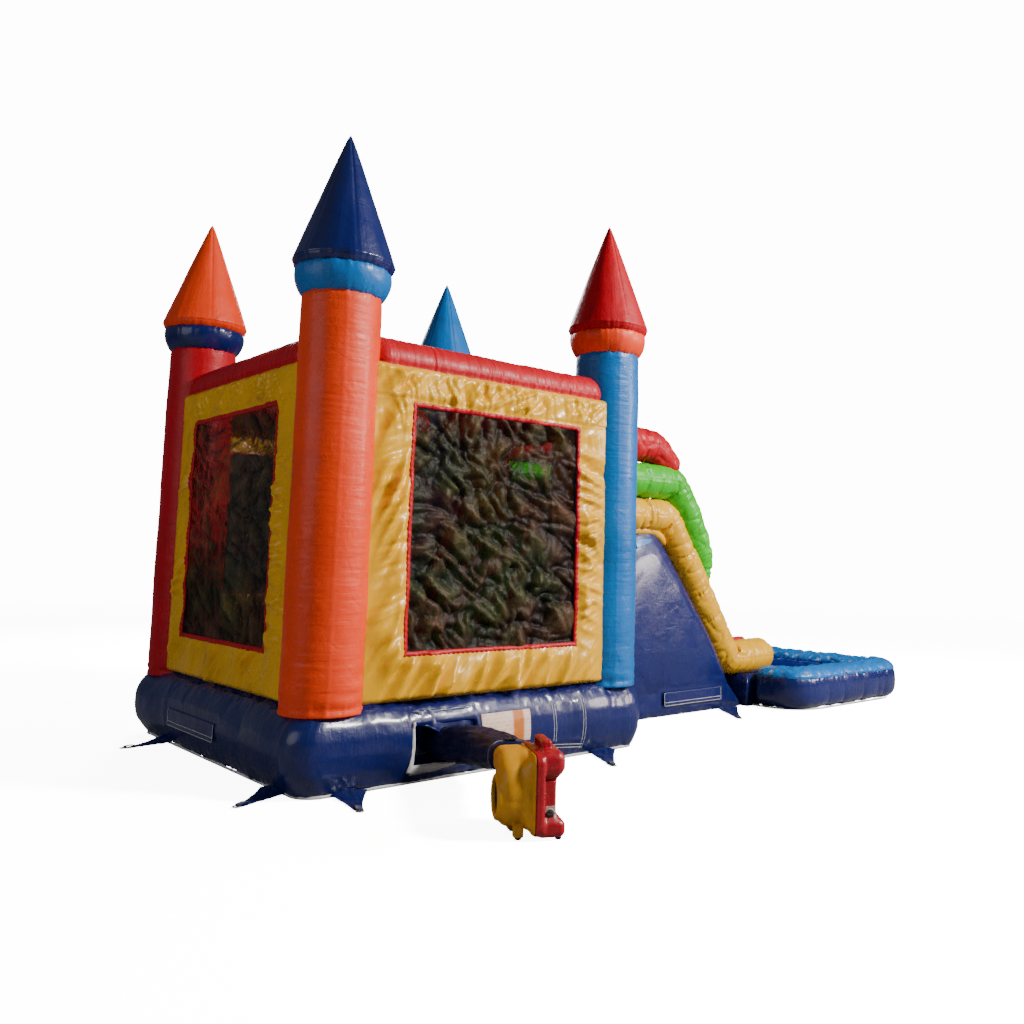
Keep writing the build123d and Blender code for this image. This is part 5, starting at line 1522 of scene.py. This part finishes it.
def first_sight(tree):
    """1 where the camera sees the surface directly, not through netting or in a reflection."""
    path = tree.nodes.new("ShaderNodeLightPath")
    depth = tree.nodes.new("ShaderNodeMath")
    depth.operation = "LESS_THAN"
    depth.inputs[1].default_value = 0.5
    both = tree.nodes.new("ShaderNodeMath")
    both.operation = "MULTIPLY"
    tree.links.new(path.outputs["Transparent Depth"], depth.inputs[0])
    tree.links.new(path.outputs["Is Camera Ray"], both.inputs[0])
    tree.links.new(depth.outputs[0], both.inputs[1])
    return both.outputs[0]


def stage():
    p = Paint("studio_floor")
    far = p.wire("ShaderNodeVectorMath", {0: p.place}, operation="LENGTH").outputs["Value"]
    colour = p.blend(p.noise(p.place, 1.2, 6.0), (0.29, 0.29, 0.29), (0.31, 0.31, 0.31))
    seen = first_sight(p.tree)
    matt = p.wire("ShaderNodeBsdfDiffuse", {"Color": colour})
    pale = p.wire("ShaderNodeBsdfDiffuse", {"Color": (STAGE_TINT, STAGE_TINT, STAGE_TINT, 1)})
    glow = p.wire("ShaderNodeEmission", {"Strength": STAGE_GLOW})
    lit = p.wire("ShaderNodeAddShader", {0: pale.outputs[0], 1: glow.outputs[0]})
    beyond = p.wire("ShaderNodeEmission", {"Strength": STAGE_LIGHT})
    farness = p.ramp(far, 9.0, 26.0)
    shown = p.wire("ShaderNodeMixShader", {0: farness, 1: lit.outputs[0], 2: beyond.outputs[0]})
    paint = p.surface(p.wire("ShaderNodeMixShader", {0: seen, 1: matt.outputs[0], 2: shown.outputs[0]}))
    mesh = bpy.data.meshes.new("studio_floor")
    r = FLOOR_REACH
    mesh.from_pydata([(-r, -r, 0), (r, -r, 0), (r, r, 0), (-r, r, 0)], [], [(0, 1, 2, 3)])
    mesh.materials.append(paint)
    ground = bpy.data.objects.new("studio_floor", mesh)
    bpy.context.scene.collection.objects.link(ground)

    world = bpy.data.worlds.new("studio")
    world.use_nodes = True
    bpy.context.scene.world = world
    tree = world.node_tree
    tree.nodes.clear()
    out = tree.nodes.new("ShaderNodeOutputWorld")
    mix = tree.nodes.new("ShaderNodeMixShader")
    shades = []
    for rgb, strength in (((0.92, 0.96, 1.0, 1), 0.11), ((1, 1, 1, 1), STAGE_LIGHT)):
        node = tree.nodes.new("ShaderNodeBackground")
        node.inputs["Color"].default_value = rgb
        node.inputs["Strength"].default_value = strength
        shades.append(node)
    tree.links.new(first_sight(tree), mix.inputs[0])
    tree.links.new(shades[0].outputs[0], mix.inputs[1])
    tree.links.new(shades[1].outputs[0], mix.inputs[2])
    tree.links.new(mix.outputs[0], out.inputs["Surface"])

    for name, at, aim, size, power, rgb in LIGHTS:
        light = bpy.data.lights.new(name, "AREA")
        light.shape = "DISK"
        light.size = size
        light.energy = power
        light.color = rgb
        lamp = bpy.data.objects.new(name, light)
        bpy.context.scene.collection.objects.link(lamp)
        lamp.location = at
        lamp.rotation_mode = "QUATERNION"
        lamp.rotation_quaternion = (Vector(at) - Vector(aim)).to_track_quat("Z", "Y")


def camera():
    yaw, pitch, roll = radians(47.5377), radians(6.7121), radians(1.1525)
    ahead = np.array([cos(yaw) * cos(pitch), sin(yaw) * cos(pitch), sin(pitch)])
    right = np.array([sin(yaw), -cos(yaw), 0])
    up = np.cross(right, ahead)
    across, tall = cos(roll) * right + sin(roll) * up, -sin(roll) * right + cos(roll) * up
    data = bpy.data.cameras.new("camera")
    data.sensor_width = 36.0
    data.lens = 32.757
    data.shift_x, data.shift_y = -0.0717, -0.0604
    eye = bpy.data.objects.new("camera", data)
    bpy.context.scene.collection.objects.link(eye)
    rows = [(across[k], tall[k], -ahead[k], CAMERA_AT[k]) for k in range(3)]
    eye.matrix_world = Matrix([*rows, (0, 0, 0, 1)])
    bpy.context.scene.camera = eye


house_tube = base()
floor()
ground_strip("foot_strip_house", 1.462, 1.462, 0.150, 0.0, 20, ["ground_hem"])
ground_strip("foot_strip_slide", 1.175, 0.612, 0.10, 2.765, 23)
for k, (colour, (x, y, *slots)) in enumerate(TURRETS.items()):
    turret(colour, x, y, *slots, 40 + 20 * k)
for name, (degrees, holes, seed, size) in SIDES.items():
    top_tube(name, degrees, seed + 60)
    side_sheet(name, degrees, holes, seed, size)
net("blower_side", 0, WINDOW, [WINDOW], 100, 1.0, 1.0)
net("rear", -90, WINDOW, [WINDOW], 200, 0.55, 0.35)
net("entrance", 180, SMALL_WINDOW, [SMALL_WINDOW, DOOR], 300, 0.8, 0.8)
rails()
chamber = slide_body()
slide_bed()
end_rolls()
climb()
entrance_step()
pool()
ground_strip("foot_strip_pool", 1.012, 1.266, 0.42, 5.015, 26)
house_skin, chamber_skin = skin_tree(house_tube), skin_tree(chamber)
fittings(house_skin, chamber_skin)
port(house_skin)
zip_port("rear", lambda u, out, v: xyz(-1.52 - out, -0.22 + u, 0.30 + v), 0.91, AHEAD)
zip_port("slide", lambda u, out, v: xyz(3.51 - u, -0.65 - out, 0.235 + v), 0.86, ACROSS)
anchors()
blower()
sleeve()
stage()
camera()
